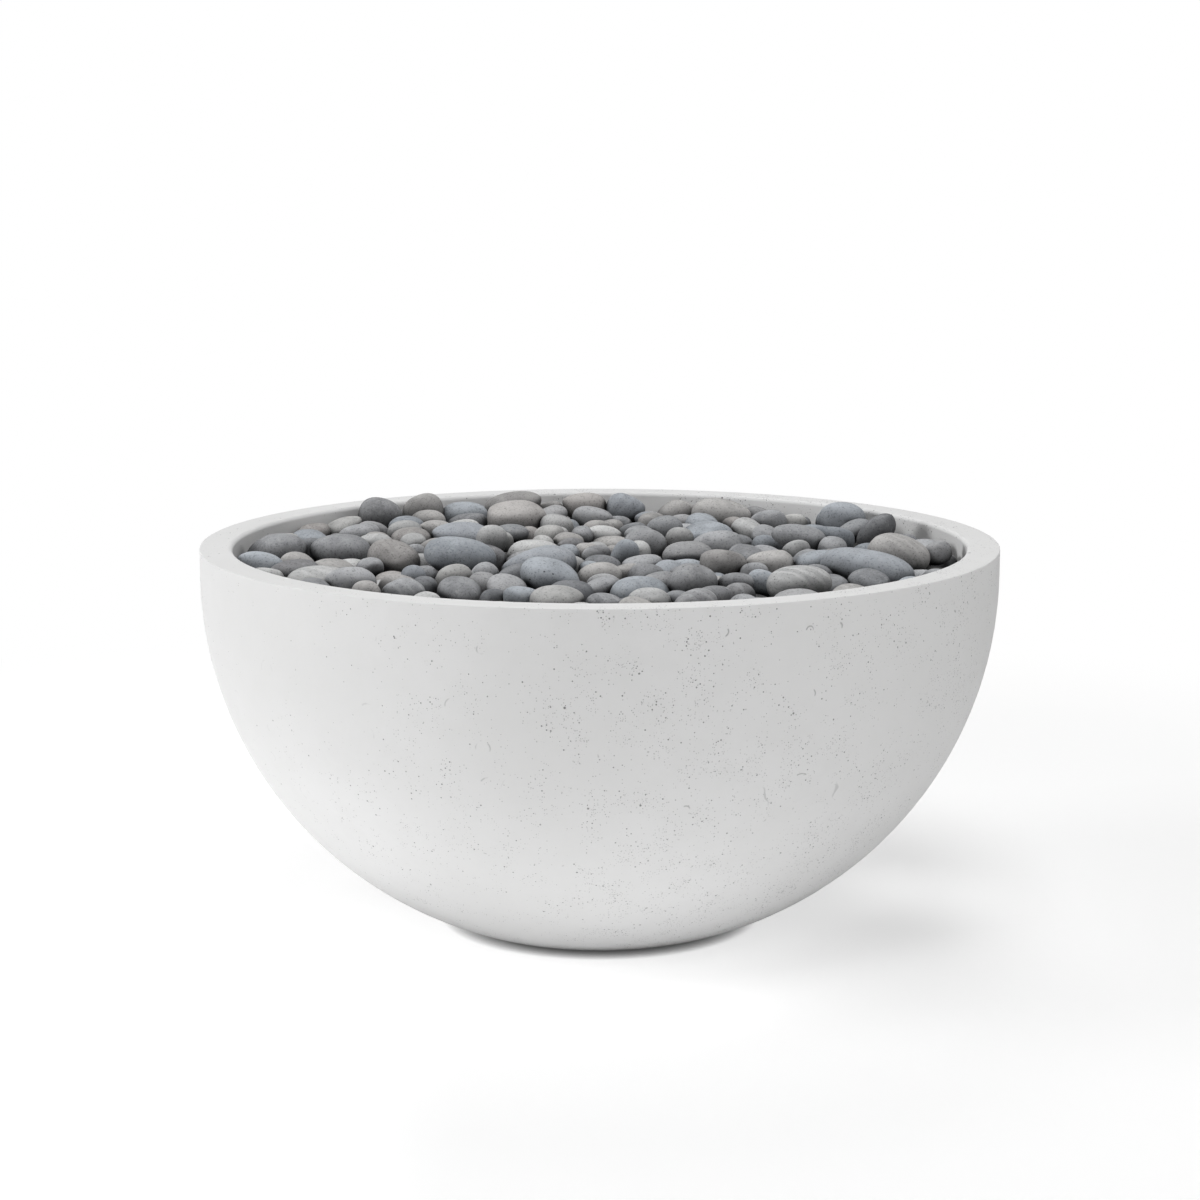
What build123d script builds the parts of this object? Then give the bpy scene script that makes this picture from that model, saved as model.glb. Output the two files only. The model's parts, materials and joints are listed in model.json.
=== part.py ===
from build123d import *
from dataclasses import dataclass
from math import asin, cos, hypot, pi, radians, sin, sqrt, tan
import os

import numpy as np

# A concrete gas fire pit: a cast bowl full of river stones over a double ring burner.
# Sizes are in millimetres. The origin is on the ground under the bowl's centre, Z is up,
# -Y is the side that is looked at and +Y is the side with the controls.

os.makedirs("parts", exist_ok=True)

# Bowl
rim_radius = 470
bowl_height = 457  # from the ground, pads included
wall = 38.5
rim_band = 32  # upright part of the wall under the rim
foot_radius = 166
rim_inner_rounding = 5
rim_outer_rounding = 1.2
gas_entry_radius = 50

# Rubber pads under the foot
pad_lift = 3  # height of the bowl above the ground
pad_seat = 2  # depth of the pads' pockets
pad_radius = 20
pad_circle = 120
pad_count = 4
pad_clearance = 0.3
pad_chamfer = 1
nut_chamfer = 1

# Ledge that carries the burner pan
ledge_drop = 64  # rim to ledge
ledge_radius = 372
ledge_edge = 20
corbel_drop = 50

# Control pocket in the back of the wall
control_drop = 167  # rim to the controls' middle
pocket_depth = 10
panel_width = 130
panel_height = 80
panel_corner = 8
panel_thickness = 2
panel_gap = 1
opening_width = 90
opening_height = 46
opening_corner = 6
panel_screw_x = 114
panel_screw_y = 64
panel_screw_radius = 2
panel_screw_length = 12
panel_head_radius = 3.8
panel_head_height = 2.2
panel_head_taper = 20
insert_radius = 3
insert_length = 12
hole_clearance = 0.15

# Burner pan
pan_thickness = 3
pan_gap = 5  # pan edge to bowl wall
skirt_depth = 14
skirt_gap = 3
drain_radius = 5
drain_circle = 300
drain_count = 8

# Burner
outer_ring_radius = 228
inner_ring_radius = 120
tube_radius = 8
tube_wall = 1.2
spoke_radius = 6.5
hub_radius = 18
hub_height = 20
hub_roof = 4
spoke_sink = 3  # length of a spoke's end inside the hub's wall
port_radius = 1.5
outer_ports = 8  # in each quarter
inner_ports = 4
pipe_radius = 10.65  # half inch pipe
pipe_wall = 2.8
pipe_engagement = 10
nipple_drop = 30  # pan to the nipple's lower end
pipe_clearance = 0.5
locknut_width = 32
locknut_height = 7

# Clips that hold the outer ring on the pan
clip_count = 4
clip_strip = 1.5
clip_width = 14
clip_tab = 16
clip_fit = 0.3
screw_radius = 2.5
screw_head_radius = 4.5
screw_head_height = 2.6
screw_length = 10

# Air mixer, its shutter, the gas jet and the elbow under it
mixer_radius = 15
mixer_length = 100
mixer_bore = 8
mixer_floor = 8
window_width = 9
window_height = 18
window_rise = 24  # mixer's lower end to the windows' middle
shutter_wall = 2
shutter_height = 26
shutter_fit = 0.08
shutter_collar = 4
shutter_tab = 12
tab_thickness = 2
jet_thread_radius = 6
jet_hex = 17
jet_hex_height = 8
jet_tip_radius = 4
jet_tip_height = 7
jet_taper = 15
jet_bore = 0.8
elbow_radius = 10
elbow_reach = 20
elbow_bore = 4
flare_radius = 7.94  # three eighths inch flare
flare_length = 14

# Gas hose between valve and burner
hose_radius = 7.5
hose_bore = 5
hose_nut_hex = 22
hose_nut_length = 20
hose_nut_fit = 0.1
hose_run_out = 62  # straight on from the valve
bend_share = 0.45  # of the shorter run, that a bend takes up

# Gas valve, measured along its axis inward from the bowl's surface
valve_x = -25
body_front = 46
body_length = 40
body_radius = 16
plug_radius = 7
plug_fit = 0.05
plug_length = 24
plug_passage = 3
port_bore = 4
inlet_depth = 58
inlet_boss_radius = 9
inlet_boss_reach = 22
sensor_depth = 76
sensor_boss_radius = 6
sensor_boss_reach = 24
sensor_bore = 3
bonnet_flange = 6
bonnet_radius = 9
neck_radius = 8
neck_end = 3
spring_room = 7
stem_radius = 4
stem_fit = 0.08
collar_radius = 6.6
collar_height = 3
collar_depth = 34
tang_width = 5.4
tang_fit = 0.1
tang_depth = 48
stem_reach = 10  # beyond the bowl's surface
push_travel = 3
valve_locknut_hex = 24
valve_locknut_height = 4
bonnet_screw_circle = 12.6
bonnet_screw_radius = 1.5
bonnet_head_radius = 2.6
bonnet_head_height = 2
bonnet_screw_length = 14
rest_gap = 0.3
fitting_hex = 19
fitting_hex_length = 8
fitting_thread = 8

# Control knob
knob_radius = 20
knob_skirt = 8
knob_back = 3.5  # knob's lower edge under the bowl's surface
grip_length = 35
grip_width = 14
grip_height = 9.5
grip_taper = 4
knob_recess_radius = 15
knob_recess = 6
knob_rounding = 1.5
bush_radius = 5.2
bush_length = 9

# Springs
valve_wire = 0.6
valve_coil = 5.2
valve_turns = 4
igniter_wire = 0.5
igniter_coil = 3.9
igniter_turns = 4

# Igniter
igniter_x = 28
igniter_flange_radius = 14
igniter_flange = 3
igniter_radius = 9
igniter_depth = 68
igniter_floor = 3
battery_radius = 5.25
battery_length = 44.5
battery_fit = 0.2
button_radius = 5
button_collar = 6
button_collar_height = 2.7
button_reach = 6  # beyond the flange
button_lip = 2
button_fit = 0.1
button_rounding = 1
igniter_nut_hex = 24
igniter_nut_height = 4

# Spark electrode and flame sensor beside the outer ring
bracket_gap = 24
bracket_x = -30
bracket_length = 76
bracket_width = 18
bracket_thickness = 2
bracket_screw_spacing = 64
probe_spacing = 24
ceramic_radius = 3.5
ceramic_collar_radius = 5
ceramic_collar = 3
ceramic_above = 12
ceramic_below = 33
probe_fit = 0.2
spark_rod_radius = 1.1
spark_height = 18  # above the pan
spark_reach = 18
spark_bend = 4
spark_tail = 8
sensor_radius = 2.6
sensor_above = 20
sensor_below = 43
lead_radius = 1.2
ignition_radius = 1.75
lead_run_out = 30  # straight on from igniter or valve
lead_run_in = 22  # straight into the electrode
sensor_run_in = 18
sensor_nut_hex = 10
sensor_nut_length = 10

# River stones
stone_gap = 0.3
ball_margin = 0.5
base_length = (54, 72)  # shortest and longest stone of the lower layer
base_height = (24, 32)
top_length = (36, 62)  # the stones between the ones that are placed by hand
top_height = (24, 38)
stone_breadth = (0.68, 0.88)  # of a stone's length
stone_turn = (0, 1080)
stone_lean = (-14, 14)
stone_nod = (-12, 12)
shown_breadth = (0.7, 0.9)
shown_turn = (-30, 30)
shown_nod = (-8, 8)
upright_breadth = 0.9  # of the length, for a stone that stands on end
base_tries = 450
top_tries = 520
base_heap = 34  # pan to the highest top of the lower layer
heap_over_rim = 14  # highest top of a stone that shows over the rim
fill_under_rim = (2, 27)  # tops of the stones between them; a lower one wouldn't show

# How stones are let down and rolled
golden_step = 0.618034  # shares of one that spread a row of values evenly
plastic_step = 0.754878
sunflower_stride = 7  # the order in which the places are tried
contact_shares = (0.08, 0.92)
contact_steps = 18
directions = 48
first_roll = 0.25  # of the wander
shortest_roll = 0.4
least_gain = 0.01
ball_pitch = 1.9  # of the half width where a ball cuts the tube's surface

# Places worked out from the sizes
band_z = bowl_height - rim_band
floor_z = pad_lift + wall
run_in = rim_radius - foot_radius
belly_radius = (run_in**2 + (band_z - pad_lift) ** 2) / (2 * run_in)
belly_x = rim_radius - belly_radius
ledge_z = bowl_height - ledge_drop
control_height = bowl_height - control_drop
pan_top = ledge_z + pan_thickness
burner_z = pan_top + hub_height / 2


def wall_radius(z, inset=0):
    """Radius of the bowl's outer surface at height z, or of a surface inset from it."""
    if z >= band_z:
        return rim_radius - inset
    return belly_x + sqrt((belly_radius - inset) ** 2 - (band_z - z) ** 2)


# The control plane touches the back of the bowl and faces along its normal
control_tilt = asin((band_z - control_height) / belly_radius)
outward = Vector(0, cos(control_tilt), -sin(control_tilt))
control_y = belly_x + belly_radius * cos(control_tilt)
control = Plane(origin=(0, control_y, control_height), x_dir=(-1, 0, 0), z_dir=outward)


def control_axis(x):
    """The control plane, moved sideways to a control's own axis."""
    return Plane(origin=control.from_local_coords((x, 0, 0)), x_dir=(-1, 0, 0), z_dir=outward)


def keep(piece, name):
    """Label a finished piece and write its file."""
    piece.part.label = name
    export_step(piece.part, f"parts/{name}.step")
    print(f"{name}: {len(piece.part.solids())} solids, {piece.part.volume / 1000:.1f} cm3")


# The cast bowl: one round belly under a short upright band, a ledge inside, a hole in the
# floor for the gas line and a pocket with an opening for the controls
with BuildPart() as bowl:
    with BuildSketch(Plane.XZ):
        with BuildLine():
            band = Line((rim_radius, bowl_height), (rim_radius, band_z))
            belly = TangentArc(band @ 1, (foot_radius, pad_lift), tangent=band % 1)
            Polyline(belly @ 1, (0, pad_lift), (0, bowl_height), band @ 0)
        make_face()
    revolve(axis=Axis.Z)
    with BuildSketch(Plane.XZ):
        with BuildLine():
            inner_band = Line((rim_radius - wall, bowl_height), (rim_radius - wall, band_z))
            inner_foot = (wall_radius(floor_z, wall), floor_z)
            inner_belly = TangentArc(inner_band @ 1, inner_foot, tangent=inner_band % 1)
            Polyline(inner_belly @ 1, (0, floor_z), (0, bowl_height), inner_band @ 0)
        make_face()
    revolve(axis=Axis.Z, mode=Mode.SUBTRACT)
    rim = bowl.faces().sort_by(Axis.Z)[-1]
    fillet(rim.edges().sort_by(SortBy.RADIUS)[0], rim_inner_rounding)
    rim = bowl.faces().sort_by(Axis.Z)[-1]
    fillet(rim.edges().sort_by(SortBy.RADIUS)[-1], rim_outer_rounding)
    corbel_z = ledge_z - ledge_edge - corbel_drop
    with BuildSketch(Plane.XZ):
        with BuildLine():
            Polyline(
                (ledge_radius, ledge_z),
                (wall_radius(ledge_z, wall / 2), ledge_z),
                (wall_radius(corbel_z, wall / 2), corbel_z),
                (ledge_radius, ledge_z - ledge_edge),
                close=True,
            )
        make_face()
    revolve(axis=Axis.Z)
    with BuildSketch(Plane.XY):
        Circle(gas_entry_radius)
    extrude(amount=floor_z + wall, mode=Mode.SUBTRACT)
    with BuildSketch(Plane.XY.offset(pad_lift)):
        with PolarLocations(pad_circle, pad_count, start_angle=45):
            Circle(pad_radius + pad_clearance)
    extrude(amount=pad_seat, mode=Mode.SUBTRACT)
    with BuildSketch(control.offset(-pocket_depth)):
        RectangleRounded(
            panel_width + 2 * panel_gap, panel_height + 2 * panel_gap, panel_corner + panel_gap
        )
    extrude(amount=pocket_depth + wall, mode=Mode.SUBTRACT)
    with BuildSketch(control.offset(-pocket_depth)):
        RectangleRounded(opening_width, opening_height, opening_corner)
    extrude(amount=-1.5 * wall, mode=Mode.SUBTRACT)
    with BuildSketch(control.offset(-pocket_depth)):
        with GridLocations(panel_screw_x, panel_screw_y, 2, 2):
            Circle(insert_radius)
    extrude(amount=-insert_length, mode=Mode.SUBTRACT)
keep(bowl, "bowl")

with BuildPart() as foot_pads:
    with BuildSketch(Plane.XY):
        with PolarLocations(pad_circle, pad_count, start_angle=45):
            Circle(pad_radius)
    extrude(amount=pad_lift + pad_seat)
    chamfer(foot_pads.edges().group_by(Axis.Z)[0], pad_chamfer)
keep(foot_pads, "foot_pads")

# The burner pan: a stainless plate on the ledge, with a hoop under it that drops inside the
# ledge and keeps it in the middle
bracket_y = outer_ring_radius + tube_radius + bracket_gap
spark_x = bracket_x - probe_spacing / 2
sensor_x = bracket_x + probe_spacing / 2
bracket_spots = [
    (bracket_x - bracket_screw_spacing / 2, bracket_y),
    (bracket_x + bracket_screw_spacing / 2, bracket_y),
]
clip_reach = tube_radius + clip_fit + clip_strip
clip_screw_circle = outer_ring_radius + clip_reach + clip_tab / 2
with BuildPart() as burner_pan:
    with BuildSketch(Plane.XY.offset(ledge_z)):
        Circle(wall_radius(ledge_z, wall) - pan_gap)
        Circle(pipe_radius + pipe_clearance, mode=Mode.SUBTRACT)
        with PolarLocations(drain_circle, drain_count, start_angle=22.5):
            Circle(drain_radius, mode=Mode.SUBTRACT)
        with PolarLocations(clip_screw_circle, clip_count, start_angle=45):
            Circle(screw_radius, mode=Mode.SUBTRACT)
        with Locations(*bracket_spots):
            Circle(screw_radius, mode=Mode.SUBTRACT)
        with Locations((spark_x, bracket_y)):
            Circle(ceramic_radius + probe_fit, mode=Mode.SUBTRACT)
        with Locations((sensor_x, bracket_y)):
            Circle(sensor_radius + probe_fit, mode=Mode.SUBTRACT)
    extrude(amount=pan_thickness)
    with BuildSketch(Plane.XY.offset(ledge_z)):
        Circle(ledge_radius - skirt_gap)
        Circle(ledge_radius - skirt_gap - pan_thickness, mode=Mode.SUBTRACT)
    extrude(amount=-skirt_depth)
keep(burner_pan, "burner_pan")

# The burner: two rings of tube joined by a cross of spokes and a hub, hollow all through,
# with gas ports in their tops. It is made as four like quarters and a hub, then joined
tube_bore = tube_radius - tube_wall
spoke_bore = spoke_radius - tube_wall
spoke_root = hub_radius - spoke_sink
quarter_start = Plane((0, 0, burner_z), x_dir=(1, -1, 0), z_dir=(-1, -1, 0))
with BuildPart() as burner_quarter:
    with BuildSketch(quarter_start):
        with Locations((outer_ring_radius, 0), (inner_ring_radius, 0)):
            Circle(tube_radius)
    revolve(axis=Axis.Z, revolution_arc=90)
    with BuildSketch(Plane.YZ.offset(spoke_root)):
        with Locations((0, burner_z)):
            Circle(spoke_radius)
    extrude(amount=outer_ring_radius - spoke_root)
    with BuildSketch(quarter_start):
        with Locations((outer_ring_radius, 0), (inner_ring_radius, 0)):
            Circle(tube_bore)
    revolve(axis=Axis.Z, revolution_arc=90, mode=Mode.SUBTRACT)
    with BuildSketch(Plane.YZ.offset(spoke_root)):
        with Locations((0, burner_z)):
            Circle(spoke_bore)
    extrude(amount=outer_ring_radius - spoke_root, mode=Mode.SUBTRACT)
    for ring, ports in ((outer_ring_radius, outer_ports), (inner_ring_radius, inner_ports)):
        between_ports = 90 / ports
        with BuildSketch(Plane.XY.offset(burner_z)):
            with PolarLocations(ring, ports, between_ports / 2 - 45, 90):
                Circle(port_radius)
        extrude(amount=tube_radius, mode=Mode.SUBTRACT)
with BuildPart() as burner_hub:
    with Locations((0, 0, burner_z)):
        Cylinder(hub_radius, hub_height)
    with BuildSketch(Plane.XY.offset(pan_top)):
        Circle(pipe_radius)
    extrude(amount=pipe_engagement, mode=Mode.SUBTRACT)
    with BuildSketch(Plane.XY.offset(pan_top)):
        Circle(pipe_radius - pipe_wall)
    extrude(amount=hub_height - hub_roof, mode=Mode.SUBTRACT)
    with Locations((0, 0, burner_z)):
        with PolarLocations(hub_radius, 4):
            Cylinder(spoke_bore, hub_radius, rotation=(0, 90, 0), mode=Mode.SUBTRACT)
quarters = [Rot(0, 0, turn) * burner_quarter.part for turn in (0, 90, 180, 270)]
with BuildPart() as burner_ring:
    add(quarters[0].fuse(*quarters[1:], burner_hub.part))
keep(burner_ring, "burner_ring")


def clip_profile():
    """Saddle strip over the ring's tube with one foot on the pan, as a face in the plane of
    the ring's radius: x is outward and y is up."""
    inner = tube_radius + clip_fit
    outer = inner + clip_strip
    rise = burner_z - pan_top
    with BuildSketch() as strip:
        with Locations((0, rise)):
            Circle(outer)
            Circle(inner, mode=Mode.SUBTRACT)
            Rectangle(2 * outer, outer, align=(Align.CENTER, Align.MAX), mode=Mode.SUBTRACT)
        with Locations((inner, 0), (-outer, 0)):
            Rectangle(clip_strip, rise, align=Align.MIN)
        with Locations((inner, 0)):
            Rectangle(clip_strip + clip_tab, clip_strip, align=Align.MIN)
    return strip.sketch


clip_angles = [45 + 360 / clip_count * i for i in range(clip_count)]
with BuildPart() as ring_clips:
    for angle in clip_angles:
        out = Vector(cos(radians(angle)), sin(radians(angle)), 0)
        clip_plane = Plane(
            origin=out * outer_ring_radius + Vector(0, 0, pan_top),
            x_dir=out,
            z_dir=out.cross(Vector(0, 0, 1)),
        )
        with BuildSketch(clip_plane):
            add(clip_profile())
        extrude(amount=clip_width / 2, both=True)
    with BuildSketch(Plane.XY.offset(pan_top)):
        with PolarLocations(clip_screw_circle, clip_count, start_angle=45):
            Circle(screw_radius + hole_clearance)
    extrude(amount=2 * clip_strip, mode=Mode.SUBTRACT)
keep(ring_clips, "ring_clips")


def pan_screws(spots, seat_z):
    """Round head screws through the pan, with their heads on a seat at height seat_z."""
    with BuildPart() as screws:
        with BuildSketch(Plane.XY.offset(seat_z)):
            with Locations(*spots):
                Circle(screw_head_radius)
        extrude(amount=screw_head_height)
        fillet(screws.edges().group_by(Axis.Z)[-1], screw_head_height / 2)
        with BuildSketch(Plane.XY.offset(seat_z)):
            with Locations(*spots):
                Circle(screw_radius)
        extrude(amount=-screw_length)
    return screws


clip_spots = [
    (clip_screw_circle * cos(radians(a)), clip_screw_circle * sin(radians(a)))
    for a in clip_angles
]
keep(pan_screws(clip_spots, pan_top + clip_strip), "clip_screws")

# Pipe nipple through the pan, and the nut that clamps the burner on it
nipple_top = pan_top + pipe_engagement
nipple_low = ledge_z - nipple_drop
with BuildPart() as hub_nipple:
    with BuildSketch(Plane.XY.offset(nipple_low)):
        Circle(pipe_radius)
        Circle(pipe_radius - pipe_wall, mode=Mode.SUBTRACT)
    extrude(amount=nipple_top - nipple_low)
keep(hub_nipple, "hub_nipple")

with BuildPart() as hub_locknut:
    with BuildSketch(Plane.XY.offset(ledge_z)):
        RegularPolygon(locknut_width / 2, 6, major_radius=False)
        Circle(pipe_radius, mode=Mode.SUBTRACT)
    extrude(amount=-locknut_height)
    chamfer(hub_locknut.edges().group_by(Axis.Z)[0].filter_by(GeomType.LINE), nut_chamfer)
keep(hub_locknut, "hub_locknut")

# Air mixer: a tube on the nipple's lower end, with four air windows and a collar that
# carries the shutter
mixer_top = nipple_low + pipe_engagement
mixer_low = mixer_top - mixer_length
window_z = mixer_low + window_rise
with BuildPart() as air_mixer:
    with BuildSketch(Plane.XY.offset(mixer_low)):
        Circle(mixer_radius)
    extrude(amount=mixer_length)
    collar_top = window_z - shutter_height / 2 - rest_gap
    with BuildSketch(Plane.XY.offset(collar_top)):
        Circle(mixer_radius + shutter_wall)
    extrude(amount=-shutter_collar)
    with BuildSketch(Plane.XY.offset(mixer_low)):
        Circle(jet_thread_radius)
    extrude(amount=mixer_floor, mode=Mode.SUBTRACT)
    with BuildSketch(Plane.XY.offset(mixer_low + mixer_floor)):
        Circle(mixer_bore)
    extrude(amount=mixer_length - mixer_floor, mode=Mode.SUBTRACT)
    with BuildSketch(Plane.XY.offset(nipple_low)):
        Circle(pipe_radius)
    extrude(amount=pipe_engagement, mode=Mode.SUBTRACT)
    with Locations((0, 0, window_z)):
        Box(3 * mixer_radius, window_width, window_height, mode=Mode.SUBTRACT)
        Box(window_width, 3 * mixer_radius, window_height, mode=Mode.SUBTRACT)
keep(air_mixer, "air_mixer")

with BuildPart() as air_shutter:
    with BuildSketch(Plane.XY.offset(window_z - shutter_height / 2)):
        Circle(mixer_radius + shutter_fit + shutter_wall)
        Circle(mixer_radius + shutter_fit, mode=Mode.SUBTRACT)
    extrude(amount=shutter_height)
    with Locations((0, 0, window_z)):
        Box(3 * mixer_radius, window_width, window_height, mode=Mode.SUBTRACT)
        Box(window_width, 3 * mixer_radius, window_height, mode=Mode.SUBTRACT)
    tab_at = (mixer_radius + shutter_fit + shutter_wall / 2) * sin(radians(45))
    with Locations(Location((-tab_at, -tab_at, window_z), (0, 0, 45))):
        Box(shutter_tab, tab_thickness, shutter_height, align=(Align.MAX, Align.CENTER, Align.CENTER))
keep(air_shutter, "air_shutter")

# Gas jet in the mixer's floor, and the elbow that feeds it
hex_low = mixer_low - jet_hex_height
with BuildPart() as gas_orifice:
    with BuildSketch(Plane.XY.offset(hex_low)):
        RegularPolygon(jet_hex / 2, 6, major_radius=False)
    extrude(amount=jet_hex_height)
    with BuildSketch(Plane.XY.offset(hex_low - fitting_thread)):
        Circle(jet_thread_radius)
    extrude(amount=fitting_thread + jet_hex_height + mixer_floor)
    with BuildSketch(Plane.XY.offset(mixer_low + mixer_floor)):
        Circle(jet_tip_radius)
    extrude(amount=jet_tip_height, taper=jet_taper)
    with BuildSketch(Plane.XY.offset(hex_low - fitting_thread)):
        Circle(elbow_bore)
    extrude(amount=fitting_thread + jet_hex_height, mode=Mode.SUBTRACT)
    with BuildSketch(Plane.XY.offset(mixer_low)):
        Circle(jet_bore)
    extrude(amount=mixer_floor + jet_tip_height, mode=Mode.SUBTRACT)
keep(gas_orifice, "gas_orifice")

elbow_z = hex_low - elbow_reach
elbow_end = elbow_reach + flare_length
with BuildPart() as inlet_elbow:
    with Locations((0, 0, elbow_z)):
        Sphere(elbow_radius)
        Cylinder(elbow_radius, elbow_reach, align=(Align.CENTER, Align.CENTER, Align.MIN))
    with BuildSketch(Plane.XZ.offset(-elbow_reach)):
        with Locations((0, elbow_z)):
            Circle(elbow_radius)
    extrude(amount=elbow_reach)
    with BuildSketch(Plane.XZ.offset(-elbow_end)):
        with Locations((0, elbow_z)):
            Circle(flare_radius)
    extrude(amount=flare_length)
    with BuildSketch(Plane.XZ.offset(-elbow_end)):
        with Locations((0, elbow_z)):
            Circle(elbow_bore)
    extrude(amount=elbow_end, mode=Mode.SUBTRACT)
    with BuildSketch(Plane.XY.offset(elbow_z)):
        Circle(elbow_bore)
    extrude(amount=elbow_reach, mode=Mode.SUBTRACT)
    with BuildSketch(Plane.XY.offset(hex_low)):
        Circle(jet_thread_radius)
    extrude(amount=-fitting_thread, mode=Mode.SUBTRACT)
keep(inlet_elbow, "inlet_elbow")

# Control panel in the pocket, with its screws and the inserts cast into the wall
valve_axis = control_axis(valve_x)
igniter_axis = control_axis(igniter_x)
panel_front = pocket_depth - panel_thickness
with BuildPart() as control_panel:
    with BuildSketch(control.offset(-pocket_depth)):
        RectangleRounded(panel_width, panel_height, panel_corner)
        with Locations((valve_x, 0)):
            Circle(neck_radius + hole_clearance, mode=Mode.SUBTRACT)
        with Locations((igniter_x, 0)):
            Circle(igniter_radius + hole_clearance, mode=Mode.SUBTRACT)
        with GridLocations(panel_screw_x, panel_screw_y, 2, 2):
            Circle(panel_screw_radius + hole_clearance, mode=Mode.SUBTRACT)
    extrude(amount=panel_thickness)
keep(control_panel, "control_panel")

with BuildPart() as panel_inserts:
    with BuildSketch(control.offset(-pocket_depth)):
        with GridLocations(panel_screw_x, panel_screw_y, 2, 2):
            Circle(insert_radius)
            Circle(panel_screw_radius, mode=Mode.SUBTRACT)
    extrude(amount=-insert_length)
keep(panel_inserts, "panel_inserts")

with BuildPart() as panel_screws:
    with BuildSketch(control.offset(-panel_front)):
        with GridLocations(panel_screw_x, panel_screw_y, 2, 2):
            Circle(panel_head_radius)
    extrude(amount=panel_head_height, taper=panel_head_taper)
    with BuildSketch(control.offset(-panel_front)):
        with GridLocations(panel_screw_x, panel_screw_y, 2, 2):
            Circle(panel_screw_radius)
    extrude(amount=-panel_screw_length)
keep(panel_screws, "panel_screws")

# Gas valve: a body with a turning plug, a bonnet whose neck passes through the panel, and a
# stem that turns the plug and can be pushed in
body_back = body_front + body_length
plug_low = body_front + rest_gap + plug_length
down = control.y_dir * -1
inlet_start = valve_axis.origin - outward * inlet_depth
inlet_plane = Plane(origin=inlet_start, x_dir=(-1, 0, 0), z_dir=down)
sensor_start = valve_axis.origin - outward * sensor_depth
sensor_plane = Plane(origin=sensor_start, x_dir=(-1, 0, 0), z_dir=down)
with BuildPart() as valve_body:
    with BuildSketch(valve_axis.offset(-body_front)):
        Circle(body_radius)
    extrude(amount=-body_length)
    with BuildSketch(inlet_plane):
        Circle(inlet_boss_radius)
    extrude(amount=inlet_boss_reach)
    with BuildSketch(sensor_plane):
        Circle(sensor_boss_radius)
    extrude(amount=sensor_boss_reach)
    with BuildSketch(valve_axis.offset(-body_front)):
        Circle(plug_radius + plug_fit)
    extrude(amount=-plug_length - 2 * rest_gap, mode=Mode.SUBTRACT)
    with BuildSketch(valve_axis.offset(-body_back)):
        Circle(port_bore)
    extrude(amount=body_length / 2, mode=Mode.SUBTRACT)
    with BuildSketch(valve_axis.offset(-body_back)):
        Circle(jet_thread_radius)
    extrude(amount=fitting_thread, mode=Mode.SUBTRACT)
    with BuildSketch(inlet_plane):
        Circle(port_bore)
    extrude(amount=inlet_boss_reach, mode=Mode.SUBTRACT)
    with BuildSketch(inlet_plane.offset(inlet_boss_reach)):
        Circle(jet_thread_radius)
    extrude(amount=-fitting_thread, mode=Mode.SUBTRACT)
    with BuildSketch(sensor_plane.offset(sensor_boss_reach)):
        Circle(sensor_bore)
    extrude(amount=-sensor_boss_reach / 2, mode=Mode.SUBTRACT)
    with BuildSketch(valve_axis.offset(-body_front)):
        with PolarLocations(bonnet_screw_circle, 2):
            Circle(bonnet_screw_radius)
    extrude(amount=bonnet_flange - bonnet_screw_length, mode=Mode.SUBTRACT)
keep(valve_body, "valve_body")

with BuildPart() as valve_plug:
    with BuildSketch(valve_axis.offset(-plug_low)):
        Circle(plug_radius)
    extrude(amount=plug_length)
    with BuildSketch(valve_axis.offset(-plug_low)):
        Circle(plug_passage)
    extrude(amount=plug_low - inlet_depth, mode=Mode.SUBTRACT)
    with BuildSketch(Plane(origin=inlet_start, x_dir=(-1, 0, 0), z_dir=control.y_dir)):
        Circle(plug_passage)
    extrude(amount=plug_radius + plug_fit, mode=Mode.SUBTRACT)
    with BuildSketch(valve_axis.offset(-tang_depth - push_travel - rest_gap)):
        Rectangle(tang_width + 2 * tang_fit, tang_width + 2 * tang_fit)
    extrude(amount=plug_length, mode=Mode.SUBTRACT)
keep(valve_plug, "valve_plug")

collar_top_depth = collar_depth - collar_height
with BuildPart() as valve_bonnet:
    with BuildSketch(valve_axis.offset(-body_front)):
        Circle(body_radius)
    extrude(amount=bonnet_flange)
    with BuildSketch(valve_axis.offset(-body_front)):
        Circle(bonnet_radius)
    extrude(amount=body_front - pocket_depth)
    with BuildSketch(valve_axis.offset(-body_front)):
        Circle(neck_radius)
    extrude(amount=body_front - neck_end)
    with BuildSketch(valve_axis.offset(-body_front)):
        Circle(spring_room)
    extrude(amount=body_front - collar_top_depth + rest_gap, mode=Mode.SUBTRACT)
    with BuildSketch(valve_axis.offset(-body_front)):
        Circle(stem_radius + stem_fit)
    extrude(amount=body_front, mode=Mode.SUBTRACT)
    with BuildSketch(valve_axis.offset(-body_front)):
        with PolarLocations(bonnet_screw_circle, 2):
            Circle(bonnet_screw_radius)
    extrude(amount=bonnet_flange, mode=Mode.SUBTRACT)
keep(valve_bonnet, "valve_bonnet")

with BuildPart() as bonnet_screws:
    with BuildSketch(valve_axis.offset(bonnet_flange - body_front)):
        with PolarLocations(bonnet_screw_circle, 2):
            Circle(bonnet_head_radius)
    extrude(amount=bonnet_head_height)
    with BuildSketch(valve_axis.offset(bonnet_flange - body_front)):
        with PolarLocations(bonnet_screw_circle, 2):
            Circle(bonnet_screw_radius)
    extrude(amount=-bonnet_screw_length)
keep(bonnet_screws, "bonnet_screws")

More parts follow.
